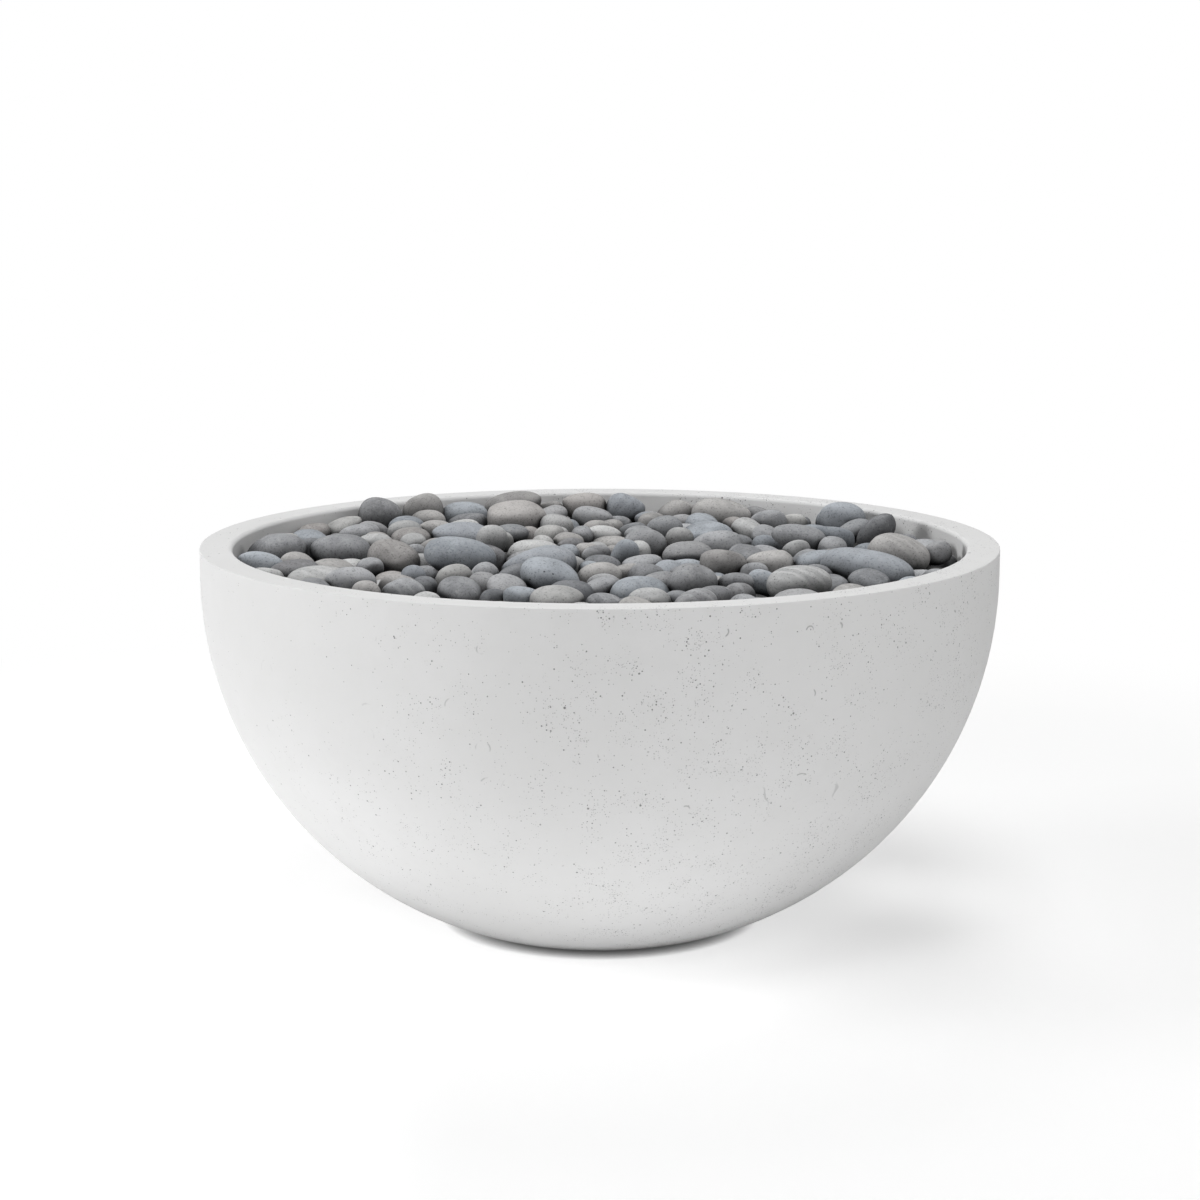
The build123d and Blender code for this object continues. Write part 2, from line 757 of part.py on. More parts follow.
with BuildPart() as valve_stem:
    with BuildSketch(valve_axis.offset(-tang_depth)):
        Rectangle(tang_width, tang_width)
    extrude(amount=tang_depth - collar_depth)
    with BuildSketch(valve_axis.offset(-collar_depth)):
        Circle(collar_radius)
    extrude(amount=collar_height)
    with BuildSketch(valve_axis.offset(-collar_depth)):
        Circle(stem_radius)
    extrude(amount=collar_depth + stem_reach)
keep(valve_stem, "valve_stem")

with BuildPart() as valve_locknut:
    with BuildSketch(valve_axis.offset(-panel_front)):
        RegularPolygon(valve_locknut_hex / 2, 6, major_radius=False)
        Circle(neck_radius, mode=Mode.SUBTRACT)
    extrude(amount=valve_locknut_height)
keep(valve_locknut, "valve_locknut")


def coil(axis, low, high, mean_radius, wire, turns):
    """A compression spring on an axis, between two depths measured from its plane."""
    height = high - low - 2 * wire
    with BuildPart() as spring:
        with BuildLine():
            helix = Helix(pitch=height / turns, height=height, radius=mean_radius)
        with BuildSketch(Plane(origin=helix @ 0, z_dir=helix % 0)):
            Circle(wire)
        sweep(is_frenet=True)
    stood = axis.offset(low + wire).location * spring.part
    with BuildPart() as placed:
        add(stood)
    return placed


plug_face = -body_front - rest_gap
keep(
    coil(valve_axis, plug_face + rest_gap, -collar_depth - rest_gap, valve_coil, valve_wire, valve_turns),
    "valve_spring",
)


def flare_fitting(plane):
    """Brass fitting with a thread behind the plane, a hexagon on it and a flare in front."""
    with BuildPart() as fitting:
        with BuildSketch(plane):
            RegularPolygon(fitting_hex / 2, 6, major_radius=False)
        extrude(amount=fitting_hex_length)
        with BuildSketch(plane):
            Circle(jet_thread_radius)
        extrude(amount=-fitting_thread)
        with BuildSketch(plane.offset(fitting_hex_length)):
            Circle(flare_radius)
        extrude(amount=flare_length)
        with BuildSketch(plane.offset(-fitting_thread)):
            Circle(port_bore)
        extrude(
            amount=fitting_thread + fitting_hex_length + flare_length, mode=Mode.SUBTRACT
        )
    return fitting


outlet_plane = Plane(
    origin=valve_axis.origin - outward * body_back, x_dir=(-1, 0, 0), z_dir=outward * -1
)
keep(flare_fitting(outlet_plane), "outlet_fitting")
keep(flare_fitting(inlet_plane.offset(inlet_boss_reach)), "inlet_fitting")

# Gas hose from the valve's outlet to the elbow. Its points are chosen by hand, in from the
# outlet, down and level into the elbow.
hose_start = outlet_plane.offset(fitting_hex_length + flare_length).origin
hose_end = Vector(0, elbow_end, elbow_z)
hose_points = [
    hose_start,
    hose_start - outward * hose_run_out,
    Vector(20, 220, 318),
    Vector(10, 162, 268),
    Vector(0, 102, elbow_z),
    hose_end,
]


def bend_radii(points):
    """As large an arc at each corner as the shorter of its two runs allows."""
    radii = []
    for before, at, after in zip(points, points[1:], points[2:]):
        turn = radians((at - before).get_angle(after - at))
        shorter = min((at - before).length, (after - at).length)
        radii.append(bend_share * shorter / tan(turn / 2))
    return radii


def tube_along(points, radius, bore=0):
    """A tube or wire whose middle line is straight runs joined by tangent arcs."""
    radii = bend_radii(points)
    with BuildPart() as tube:
        with BuildLine():
            path = FilletPolyline(*points, radius=radii)
        with BuildSketch(Plane(origin=path @ 0, z_dir=path % 0)):
            Circle(radius)
            if bore:
                Circle(bore, mode=Mode.SUBTRACT)
        sweep()
    section = pi * (radius**2 - bore**2)
    print(f"bend radii {[round(r) for r in radii]}, length {path.length:.0f}")
    print(f"volume over section times length {tube.part.volume / section / path.length:.4f}")
    return tube


keep(tube_along(hose_points, hose_radius, hose_bore), "burner_hose")

with BuildPart() as hose_nuts:
    for end_plane in (
        outlet_plane.offset(fitting_hex_length + rest_gap),
        Plane(origin=(0, elbow_reach + rest_gap, elbow_z), x_dir=(1, 0, 0), z_dir=(0, 1, 0)),
    ):
        with BuildSketch(end_plane):
            RegularPolygon(hose_nut_hex / 2, 6, major_radius=False)
            Circle(flare_radius + hose_nut_fit, mode=Mode.SUBTRACT)
        extrude(amount=hose_nut_length)
keep(hose_nuts, "hose_nuts")

# Control knob with a bar grip, and the brass bush in it
knob_floor = knob_recess - knob_back
with BuildPart() as control_knob:
    with BuildSketch(valve_axis.offset(-knob_back)):
        Circle(knob_radius)
    extrude(amount=knob_skirt)
    fillet(control_knob.edges().group_by(SortBy.LENGTH)[-1], knob_rounding)
    with BuildSketch(valve_axis.offset(knob_skirt - knob_back - knob_rounding)):
        SlotOverall(grip_length, grip_width, rotation=90)
    extrude(amount=grip_height + knob_rounding, taper=grip_taper)
    grip_top = control_knob.faces().sort_by(lambda f: f.center().dot(outward))[-1]
    fillet(grip_top.edges(), knob_rounding)
    with BuildSketch(valve_axis.offset(-knob_back)):
        Circle(knob_recess_radius)
    extrude(amount=knob_recess, mode=Mode.SUBTRACT)
    with BuildSketch(valve_axis.offset(knob_floor)):
        Circle(bush_radius)
    extrude(amount=bush_length, mode=Mode.SUBTRACT)
keep(control_knob, "control_knob")

with BuildPart() as knob_insert:
    with BuildSketch(valve_axis.offset(knob_floor)):
        Circle(bush_radius)
        Circle(stem_radius, mode=Mode.SUBTRACT)
    extrude(amount=bush_length)
keep(knob_insert, "knob_insert")

# Push button igniter: housing through the panel, battery, spring, button and ring nut
button_back = panel_front + button_lip + button_collar_height + rest_gap - igniter_flange
battery_front = igniter_depth - igniter_floor - battery_length - rest_gap
with BuildPart() as igniter_housing:
    with BuildSketch(igniter_axis.offset(-panel_front)):
        Circle(igniter_flange_radius)
    extrude(amount=igniter_flange)
    with BuildSketch(igniter_axis.offset(-panel_front)):
        Circle(igniter_radius)
    extrude(amount=panel_front - igniter_depth)
    with BuildSketch(igniter_axis.offset(igniter_floor - igniter_depth)):
        Circle(battery_radius + battery_fit)
    extrude(amount=igniter_depth - igniter_floor - battery_front, mode=Mode.SUBTRACT)
    with BuildSketch(igniter_axis.offset(-battery_front)):
        Circle(button_collar + button_fit)
    extrude(amount=battery_front - panel_front + igniter_flange - button_lip, mode=Mode.SUBTRACT)
    with BuildSketch(igniter_axis.offset(-panel_front)):
        Circle(button_radius + button_fit)
    extrude(amount=igniter_flange, mode=Mode.SUBTRACT)
keep(igniter_housing, "igniter_housing")

with BuildPart() as igniter_button:
    with BuildSketch(igniter_axis.offset(-button_back)):
        Circle(button_collar)
    extrude(amount=button_collar_height)
    with BuildSketch(igniter_axis.offset(-button_back)):
        Circle(button_radius)
    extrude(amount=button_back - panel_front + igniter_flange + button_reach)
    button_top = igniter_button.faces().sort_by(lambda f: f.center().dot(outward))[-1]
    fillet(button_top.edges(), button_rounding)
keep(igniter_button, "igniter_button")

with BuildPart() as igniter_battery:
    with BuildSketch(igniter_axis.offset(-battery_front)):
        Circle(battery_radius)
    extrude(amount=-battery_length)
keep(igniter_battery, "igniter_battery")

keep(
    coil(
        igniter_axis,
        -battery_front + rest_gap,
        -button_back - rest_gap,
        igniter_coil,
        igniter_wire,
        igniter_turns,
    ),
    "igniter_spring",
)

with BuildPart() as igniter_nut:
    with BuildSketch(igniter_axis.offset(-pocket_depth)):
        RegularPolygon(igniter_nut_hex / 2, 6, major_radius=False)
        Circle(igniter_radius, mode=Mode.SUBTRACT)
    extrude(amount=-igniter_nut_height)
keep(igniter_nut, "igniter_nut")

# Bracket on the pan beside the outer ring, with the spark electrode and the flame sensor
with BuildPart() as igniter_bracket:
    with BuildSketch(Plane.XY.offset(pan_top)):
        with Locations((bracket_x, bracket_y)):
            SlotOverall(bracket_length, bracket_width)
        with Locations(*bracket_spots):
            Circle(screw_radius + hole_clearance, mode=Mode.SUBTRACT)
        with Locations((spark_x, bracket_y)):
            Circle(ceramic_radius + probe_fit, mode=Mode.SUBTRACT)
        with Locations((sensor_x, bracket_y)):
            Circle(sensor_radius + probe_fit, mode=Mode.SUBTRACT)
    extrude(amount=bracket_thickness)
keep(igniter_bracket, "igniter_bracket")

bracket_top = pan_top + bracket_thickness
keep(pan_screws(bracket_spots, bracket_top), "bracket_screws")

with BuildPart() as electrode_insulator:
    with BuildSketch(Plane.XY.offset(pan_top - ceramic_below)):
        with Locations((spark_x, bracket_y)):
            Circle(ceramic_radius)
    extrude(amount=ceramic_below + bracket_thickness + ceramic_above)
    with BuildSketch(Plane.XY.offset(bracket_top)):
        with Locations((spark_x, bracket_y)):
            Circle(ceramic_collar_radius)
    extrude(amount=ceramic_collar)
    with BuildSketch(Plane.XY.offset(pan_top - ceramic_below)):
        with Locations((spark_x, bracket_y)):
            Circle(spark_rod_radius)
    extrude(amount=ceramic_below + bracket_thickness + ceramic_above, mode=Mode.SUBTRACT)
keep(electrode_insulator, "electrode_insulator")

electrode_low = pan_top - ceramic_below - spark_tail
with BuildPart() as spark_electrode:
    with BuildLine():
        rod = FilletPolyline(
            (spark_x, bracket_y, electrode_low),
            (spark_x, bracket_y, pan_top + spark_height),
            (spark_x, bracket_y - spark_reach, pan_top + spark_height),
            radius=spark_bend,
        )
    with BuildSketch(Plane(origin=rod @ 0, z_dir=rod % 0)):
        Circle(spark_rod_radius)
    sweep()
keep(spark_electrode, "spark_electrode")

# Ignition lead from the igniter's back to the electrode
lead_start = igniter_axis.origin - outward * igniter_depth
ignition_points = [
    lead_start,
    lead_start - outward * lead_run_out,
    Vector(-30, 318, 322),
    Vector(-36, 285, 312),
    Vector(spark_x, bracket_y, electrode_low - lead_run_in),
    Vector(spark_x, bracket_y, electrode_low),
]
keep(tube_along(ignition_points, ignition_radius), "ignition_lead")

# Flame sensor: its tip beside the ring and its copper lead to the valve are one piece
sensor_low = pan_top - sensor_below
sensor_end = sensor_plane.offset(sensor_boss_reach).origin
sensor_points = [
    sensor_end,
    sensor_end + down * lead_run_out,
    Vector(16, 332, 256),
    Vector(4, 305, 264),
    Vector(-8, 282, 282),
    Vector(-18, 264, 308),
    Vector(sensor_x, bracket_y, sensor_low - sensor_run_in),
    Vector(sensor_x, bracket_y, sensor_low),
]
sensor_lead = tube_along(sensor_points, lead_radius)
with BuildPart() as thermocouple:
    add(sensor_lead.part)
    with BuildSketch(Plane.XY.offset(sensor_low)):
        with Locations((sensor_x, bracket_y)):
            Circle(sensor_radius)
    extrude(amount=sensor_below + sensor_above)
    sensor_tip = thermocouple.faces().sort_by(Axis.Z)[-1]
    fillet(sensor_tip.edges(), sensor_radius / 2)
keep(thermocouple, "thermocouple")

with BuildPart() as thermocouple_nut:
    with BuildSketch(sensor_plane.offset(sensor_boss_reach)):
        RegularPolygon(sensor_nut_hex / 2, 6, major_radius=False)
        Circle(lead_radius + hole_clearance, mode=Mode.SUBTRACT)
    extrude(amount=sensor_nut_length)
keep(thermocouple_nut, "thermocouple_nut")


# River stones. Each is an ellipsoid that is let down at its place and rolls a short way
# until it lies as low as it can on the stones, the pan and the burner, and inside the wall.
@dataclass
class Stone:
    semi: tuple  # half length, half width, half height
    axes: np.ndarray  # unit vectors along them, as columns
    colour: str
    centre: np.ndarray = None

    @property
    def spread(self):
        """The stone's shape matrix, grown by half the gap between stones."""
        grown = np.diag([(s + stone_gap / 2) ** 2 for s in self.semi])
        return self.axes @ grown @ self.axes.T


def turned(turn, lean, nod):
    """Axes of a stone that is turned about Z, after a lean about Y and a nod about X."""
    t, l, n = radians(turn), radians(lean), radians(nod)
    about_z = np.array([[cos(t), -sin(t), 0], [sin(t), cos(t), 0], [0, 0, 1]])
    about_y = np.array([[cos(l), 0, sin(l)], [0, 1, 0], [-sin(l), 0, cos(l)]])
    about_x = np.array([[1, 0, 0], [0, cos(n), -sin(n)], [0, sin(n), cos(n)]])
    return about_y @ about_x @ about_z


def obstacles():
    """Balls that enclose the burner, its clips, its hub and the spark bracket."""
    ball = tube_radius + ball_margin
    pitch = ball_pitch * sqrt(ball**2 - tube_radius**2)
    spots = []
    for ring in (inner_ring_radius, outer_ring_radius):
        count = round(2 * pi * ring / pitch)
        for i in range(count):
            a = 2 * pi * i / count
            spots.append((ring * cos(a), ring * sin(a), burner_z, ball))
    for i in range(round(outer_ring_radius / pitch)):
        for x, y in ((1, 0), (-1, 0), (0, 1), (0, -1)):
            spots.append((x * i * pitch, y * i * pitch, burner_z, ball - tube_radius + spoke_radius))
    spots.append((0, 0, burner_z, hypot(hub_radius, hub_height / 2)))
    clip_ball = hypot(clip_reach, clip_width / 2)
    for x, y in clip_spots:
        share = outer_ring_radius / clip_screw_circle
        spots.append((x * share, y * share, burner_z, clip_ball))
        spots.append((x, y, pan_top, clip_tab / 2 + screw_head_height))
    probe_ball = ceramic_collar_radius + ball_margin
    for x in (spark_x, sensor_x):
        for rise in (0, spark_height / 2, spark_height):
            spots.append((x, bracket_y, pan_top + rise, probe_ball))
    spots.append((spark_x, bracket_y - spark_reach / 2, pan_top + spark_height, probe_ball))
    for x, y in [(bracket_x, bracket_y), *bracket_spots]:
        spots.append((x, y, pan_top, bracket_width / 2 + ball_margin))
    return np.array(spots)


class Heap:
    """What has been laid so far, as centres and shape matrices."""

    def __init__(self):
        balls = obstacles()
        self.centres = balls[:, :3]
        self.spreads = np.array([np.eye(3) * (r + stone_gap / 2) ** 2 for r in balls[:, 3]])
        self.stones = []
        self.shares = np.linspace(*contact_shares, contact_steps)
        angles = np.linspace(0, 2 * pi, directions, endpoint=False)
        self.compass = np.stack([np.cos(angles), np.sin(angles)], axis=1)
        self.wall = wall_radius(ledge_z, wall)

    def add(self, stone):
        self.stones.append(stone)
        self.centres = np.vstack([self.centres, stone.centre])
        self.spreads = np.concatenate([self.spreads, stone.spread[None]])

    def rest_height(self, spread, spots, near, lenses):
        """Height at which a stone comes to rest at each spot, without rolling."""
        low = pan_top + sqrt(spread[2, 2])
        heights = np.full(len(spots), low)
        if len(near):
            off = spots[:, None, :] - self.centres[near][None, :, :2]
            x, y = off[:, :, 0, None], off[:, :, 1, None]
            a = lenses[None, :, :, 2, 2]
            b = 2 * (lenses[None, :, :, 0, 2] * x + lenses[None, :, :, 1, 2] * y)
            flat = lenses[None, :, :, 0, 0] * x**2 + lenses[None, :, :, 1, 1] * y**2
            flat = flat + 2 * lenses[None, :, :, 0, 1] * x * y
            c = flat - 1 / (self.shares * (1 - self.shares))
            inside = b**2 - 4 * a * c
            rise = np.where(inside > 0, (np.sqrt(np.abs(inside)) - b) / (2 * a), -np.inf)
            touch = rise.min(axis=2) + self.centres[near][None, :, 2]
            heights = np.maximum(heights, touch.max(axis=1))
        edge = np.sqrt(np.einsum("ki,ij,kj->k", self.compass, spread[:2, :2], self.compass))
        over = (spots @ self.compass.T + edge).max(axis=1) > self.wall
        return np.where(over, np.inf, heights)

    def settle(self, stone, x, y, wander):
        """Let a stone down at (x, y), or as near as the wall allows, and let it roll."""
        spread = stone.spread
        room = self.wall - sqrt(np.linalg.eigvalsh(spread[:2, :2])[-1])
        away = hypot(x, y)
        if away > room:
            x, y = x * room / away, y * room / away
        here = np.array([x, y], float)
        home = here.copy()
        reach = max(stone.semi) + np.sqrt(self.spreads.max(axis=(1, 2))) + wander + stone_gap
        near = np.flatnonzero(np.hypot(*(self.centres[:, :2] - here).T) < reach)
        s = self.shares[None, :, None, None]
        lenses = np.linalg.inv((1 - s) * spread + s * self.spreads[near][:, None])
        step = wander * first_roll
        height = self.rest_height(spread, here[None], near, lenses)[0]
        while step > shortest_roll:
            around = here + step * self.compass[::4]
            around = around[np.hypot(*(around - home).T) <= wander]
            heights = self.rest_height(spread, around, near, lenses)
            if len(heights) and heights.min() < height - least_gain:
                here, height = around[heights.argmin()], heights.min()
            else:
                step /= 2
        stone.centre = np.array([here[0], here[1], height])
        return height + sqrt(spread[2, 2])


def between(limits, share):
    return limits[0] + (limits[1] - limits[0]) * share


golden_turn = pi * (3 - sqrt(5))


def scatter(heap, tries, lengths, heights, colours, tops, wander):
    """Lay stones over the whole bowl in a sunflower pattern, wherever the top of one comes
    to lie between the two limits."""
    for i in range(tries):
        number = i * sunflower_stride % tries
        out, angle = heap.wall * sqrt((number + 0.5) / tries), golden_turn * number
        mix, other = i * golden_step % 1, i * plastic_step % 1
        length = between(lengths, mix)
        breadth = length * between(stone_breadth, other)
        semi = (length / 2, breadth / 2, between(heights, other) / 2)
        axes = turned(
            between(stone_turn, mix), between(stone_lean, other), between(stone_nod, mix)
        )
        stone = Stone(semi, axes, colours[i % len(colours)])
        top = heap.settle(stone, out * cos(angle), out * sin(angle), wander)
        if tops[0] < top < tops[1]:
            heap.add(stone)


# The larger stones that show, by colour, as read from the photograph: place across and
# back, length and height, and lean to the right
shown_stones = {
    "blue": [
        (298, -130, 110, 46, 12),
        (-165, -70, 86, 46, 8),
        (-73, -95, 88, 46, -10),
        (-48, -200, 68, 39, 12),
        (-173, 340, 64, 39, -6),
        (41, 370, 53, 42, 8),
        (319, 250, 60, 46, 10),
        (288, 115, 57, 39, 4),
        (133, 185, 65, 34, 0),
        (46, -250, 69, 44, -4),
        (-84, -310, 47, 29, 0),
        (-178, 175, 75, 34, 6),
        (103, -40, 51, 29, -8),
        (180, -190, 42, 34, 10),
        (33, -25, 32, 45, 24),
        (-402, -95, 58, 37, 14),
    ],
    "grey": [
        (-400, 25, 83, 46, -4),
        (-328, 15, 73, 41, 4),
        (-302, 160, 55, 29, -6),
        (-276, 285, 57, 46, 12),
        (-271, -220, 58, 37, 6),
        (-216, -265, 55, 39, -4),
        (-127, -140, 36, 45, 28),
        (52, 105, 53, 42, 0),
        (108, -225, 57, 41, 6),
        (106, -345, 49, 32, -4),
        (12, -345, 45, 32, 4),
        (99, 10, 61, 34, 0),
        (239, 90, 69, 34, 12),
        (138, 90, 66, 34, -6),
        (160, -290, 58, 29, 0),
        (208, 240, 49, 34, -10),
        (399, -15, 36, 29, -20),
        (407, -70, 47, 32, 10),
        (-9, 315, 55, 32, 4),
    ],
    "warm": [
        (-243, -50, 67, 46, 8),
        (-227, 290, 47, 37, -8),
        (-196, 345, 57, 46, -14),
        (-103, 275, 80, 46, 4),
        (-108, 380, 80, 41, -4),
        (153, 335, 83, 46, 2),
        (108, 370, 59, 44, -14),
        (197, -55, 60, 46, 6),
        (152, -65, 56, 39, 16),
        (351, -45, 76, 44, 14),
        (11, 25, 36, 40, 0),
        (-238, 150, 54, 32, 0),
        (-148, -290, 47, 32, 4),
        (139, -180, 40, 29, 0),
        (-5, -135, 53, 37, -8),
        (-16, 385, 64, 39, 0),
    ],
    "light": [
        (-74, 65, 69, 32, -4),
        (-49, 255, 45, 36, 0),
        (-278, 65, 50, 32, -6),
        (-127, 100, 38, 43, 12),
        (224, -250, 72, 41, -4),
        (237, 315, 38, 30, 20),
        (-317, -185, 75, 34, 0),
        (58, -335, 48, 34, 4),
        (-42, -330, 58, 32, 0),
        (-163, -180, 42, 34, -8),
        (329, 25, 53, 29, 0),
        (-26, -5, 34, 27, 10),
    ],
    "dark": [
        (344, 165, 59, 34, -38),
        (-341, -130, 61, 32, 4),
        (87, 195, 49, 39, -6),
        (176, 145, 40, 29, 0),
        (266, 285, 32, 26, 12),
        (88, -160, 36, 29, 0),
        (376, 95, 38, 29, 0),
        (-119, -285, 32, 26, -10),
        (242, -25, 38, 30, 0),
    ],
}
shown_wanders = (6, 12, 20, 30, 45, 60)
base_wander = 26
top_wander = 26

top_limit = bowl_height + heap_over_rim
heap = Heap()
base_tops = (pan_top, pan_top + base_heap)
scatter(heap, base_tries, base_length, base_height, ["base"], base_tops, base_wander)
for colour, places in shown_stones.items():
    for i, (across, back, length, height, lean) in enumerate(places):
        other = i * golden_step % 1
        breadth = length * between(shown_breadth, other)
        if height > length:
            breadth = length * upright_breadth
        axes = turned(between(shown_turn, other), lean, between(shown_nod, other))
        stone = Stone((length / 2, breadth / 2, height / 2), axes, colour)
        for wander in shown_wanders:
            if heap.settle(stone, across, back, wander) < top_limit:
                heap.add(stone)
                break
top_colours = ["grey", "dark", "warm", "blue", "grey", "light"]
fill_tops = (bowl_height - fill_under_rim[1], bowl_height - fill_under_rim[0])
scatter(heap, top_tries, top_length, top_height, top_colours, fill_tops, top_wander)


def pebble(stone):
    """The stone as a solid in its place."""
    place = Plane(
        origin=tuple(stone.centre), x_dir=tuple(stone.axes[:, 0]), z_dir=tuple(stone.axes[:, 2])
    )
    return place.location * scale(Sphere(1), by=stone.semi)


for colour in ["base", *shown_stones]:
    pebbles = [pebble(stone) for stone in heap.stones if stone.colour == colour]
    with BuildPart() as river_stones:
        add(pebbles)
    keep(river_stones, f"river_stones_{colour}")
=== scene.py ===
# %% [markdown]
# # A concrete gas fire pit
#
# This lesson dresses a finished CAD model. The model comes in as a fixed frame: every part is
# already in its place and at its real size, in metres, with Z up. What is made here is how it
# looks: cast concrete, water-worn stones, steel, brass, rubber and plastic, under soft light.
#
# The size of the frame is noted first, so that it can be compared with the dressed model at the
# end. Dressing a model should not make it grow.

import json
import math

import bmesh
import bpy
import numpy as np
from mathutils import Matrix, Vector


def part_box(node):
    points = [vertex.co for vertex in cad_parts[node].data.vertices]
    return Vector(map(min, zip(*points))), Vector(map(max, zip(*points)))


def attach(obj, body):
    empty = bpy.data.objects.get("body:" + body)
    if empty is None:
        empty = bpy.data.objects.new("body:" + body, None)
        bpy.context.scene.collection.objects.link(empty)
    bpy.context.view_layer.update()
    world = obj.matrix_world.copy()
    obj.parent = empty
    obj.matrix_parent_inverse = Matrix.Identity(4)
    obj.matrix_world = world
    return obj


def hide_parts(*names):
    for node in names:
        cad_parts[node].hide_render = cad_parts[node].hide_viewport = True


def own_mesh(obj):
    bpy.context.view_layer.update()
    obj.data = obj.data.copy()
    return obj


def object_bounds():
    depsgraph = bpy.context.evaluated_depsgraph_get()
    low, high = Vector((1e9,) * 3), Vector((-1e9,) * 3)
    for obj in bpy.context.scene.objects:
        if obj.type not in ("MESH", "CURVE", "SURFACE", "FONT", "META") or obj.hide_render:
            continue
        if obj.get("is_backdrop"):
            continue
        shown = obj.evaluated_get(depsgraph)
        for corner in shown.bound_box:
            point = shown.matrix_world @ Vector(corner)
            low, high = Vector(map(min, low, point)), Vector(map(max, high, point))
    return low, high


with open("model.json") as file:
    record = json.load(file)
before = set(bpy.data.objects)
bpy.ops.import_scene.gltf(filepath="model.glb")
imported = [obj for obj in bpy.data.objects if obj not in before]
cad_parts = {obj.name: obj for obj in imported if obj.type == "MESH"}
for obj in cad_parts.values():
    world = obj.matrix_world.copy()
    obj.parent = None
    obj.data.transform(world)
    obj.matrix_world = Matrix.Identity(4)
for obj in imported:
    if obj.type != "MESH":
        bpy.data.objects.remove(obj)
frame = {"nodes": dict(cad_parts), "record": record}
frame_box = [list(corner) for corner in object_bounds()]
print("box of the frame:", [[round(c, 4) for c in corner] for corner in frame_box])

# %% [markdown]
# ## The camera
#
# A photograph fixes its camera more firmly than one would think. The rim is a circle of known
# size, so the shape of its ellipse gives the camera's height and tilt, and the difference between
# the near and the far half gives the distance: 3.2 m, looking down by not quite ten degrees
# through a short telephoto lens. The camera could also be aimed with a constraint, but a plain
# rotation is easier to read and says exactly what the fit found.

# %% Place the camera
camera_place = (0.0004, -3.2, 0.939)
look_down = math.radians(9.82)
sensor_mm, lens_mm = 36, 81.86


def new_object(name, data):
    """Put a camera, a lamp or a mesh into the scene."""
    made = bpy.data.objects.new(name, data)
    bpy.context.scene.collection.objects.link(made)
    return made


camera = new_object("camera", bpy.data.cameras.new("camera"))
camera.data.sensor_width = sensor_mm
camera.data.lens = lens_mm
camera.location = camera_place
camera.rotation_euler = (math.pi / 2 - look_down, 0, 0)
bpy.context.scene.camera = camera
print("lens of", lens_mm, "mm at", camera_place)

# %% [markdown]
# ## Small helpers for node materials
#
# Each finish below is a small graph of shader nodes. Graphs are easier to write, and to read,
# with a helper that adds a node, sets its values and plugs in its inputs in one line. The same
# helper serves the materials and the sky, because both are made of nodes.


# %% Graph helpers
class Graph:
    """A node tree, with short ways to add nodes to it and to link them."""

    def __init__(self, tree):
        self.tree = tree

    def plug(self, value, socket):
        """Link an output to a socket, or set the socket to a plain value."""
        if isinstance(value, bpy.types.NodeSocket):
            self.tree.links.new(value, socket)
        else:
            socket.default_value = value

    def add(self, kind, settings=None, **inputs):
        """Add a node. Settings are its own fields; inputs are values or other nodes' sockets."""
        node = self.tree.nodes.new(kind)
        for field, value in (settings or {}).items():
            setattr(node, field, value)
        for name, value in inputs.items():
            self.plug(value, node.inputs[name.replace("_", " ")])
        return node

    def maths(self, kind, *values, clamp=False):
        """One step of arithmetic, such as ADD, MULTIPLY or LESS_THAN."""
        node = self.add("ShaderNodeMath", {"operation": kind, "use_clamp": clamp})
        for value, socket in zip(values, node.inputs):
            self.plug(value, socket)
        return node.outputs[0]

    def times(self, first, second):
        """Two values multiplied."""
        return self.maths("MULTIPLY", first, second)

    def distance(self, place, centre=(0, 0, 0)):
        """How far a place is from a centre."""
        node = self.add("ShaderNodeVectorMath", {"operation": "DISTANCE"})
        self.plug(place, node.inputs[0])
        self.plug(centre, node.inputs[1])
        return node.outputs["Value"]

    def split(self, vector):
        """The three numbers of a vector."""
        return self.add("ShaderNodeSeparateXYZ", Vector=vector).outputs[:3]


# %% [markdown]
# A finish is the graph of one material. Its patterns use object coordinates. The frame's objects
# sit at the origin, so these are real metres on the real object, and a noise of scale 100 has
# grains of about a centimetre.


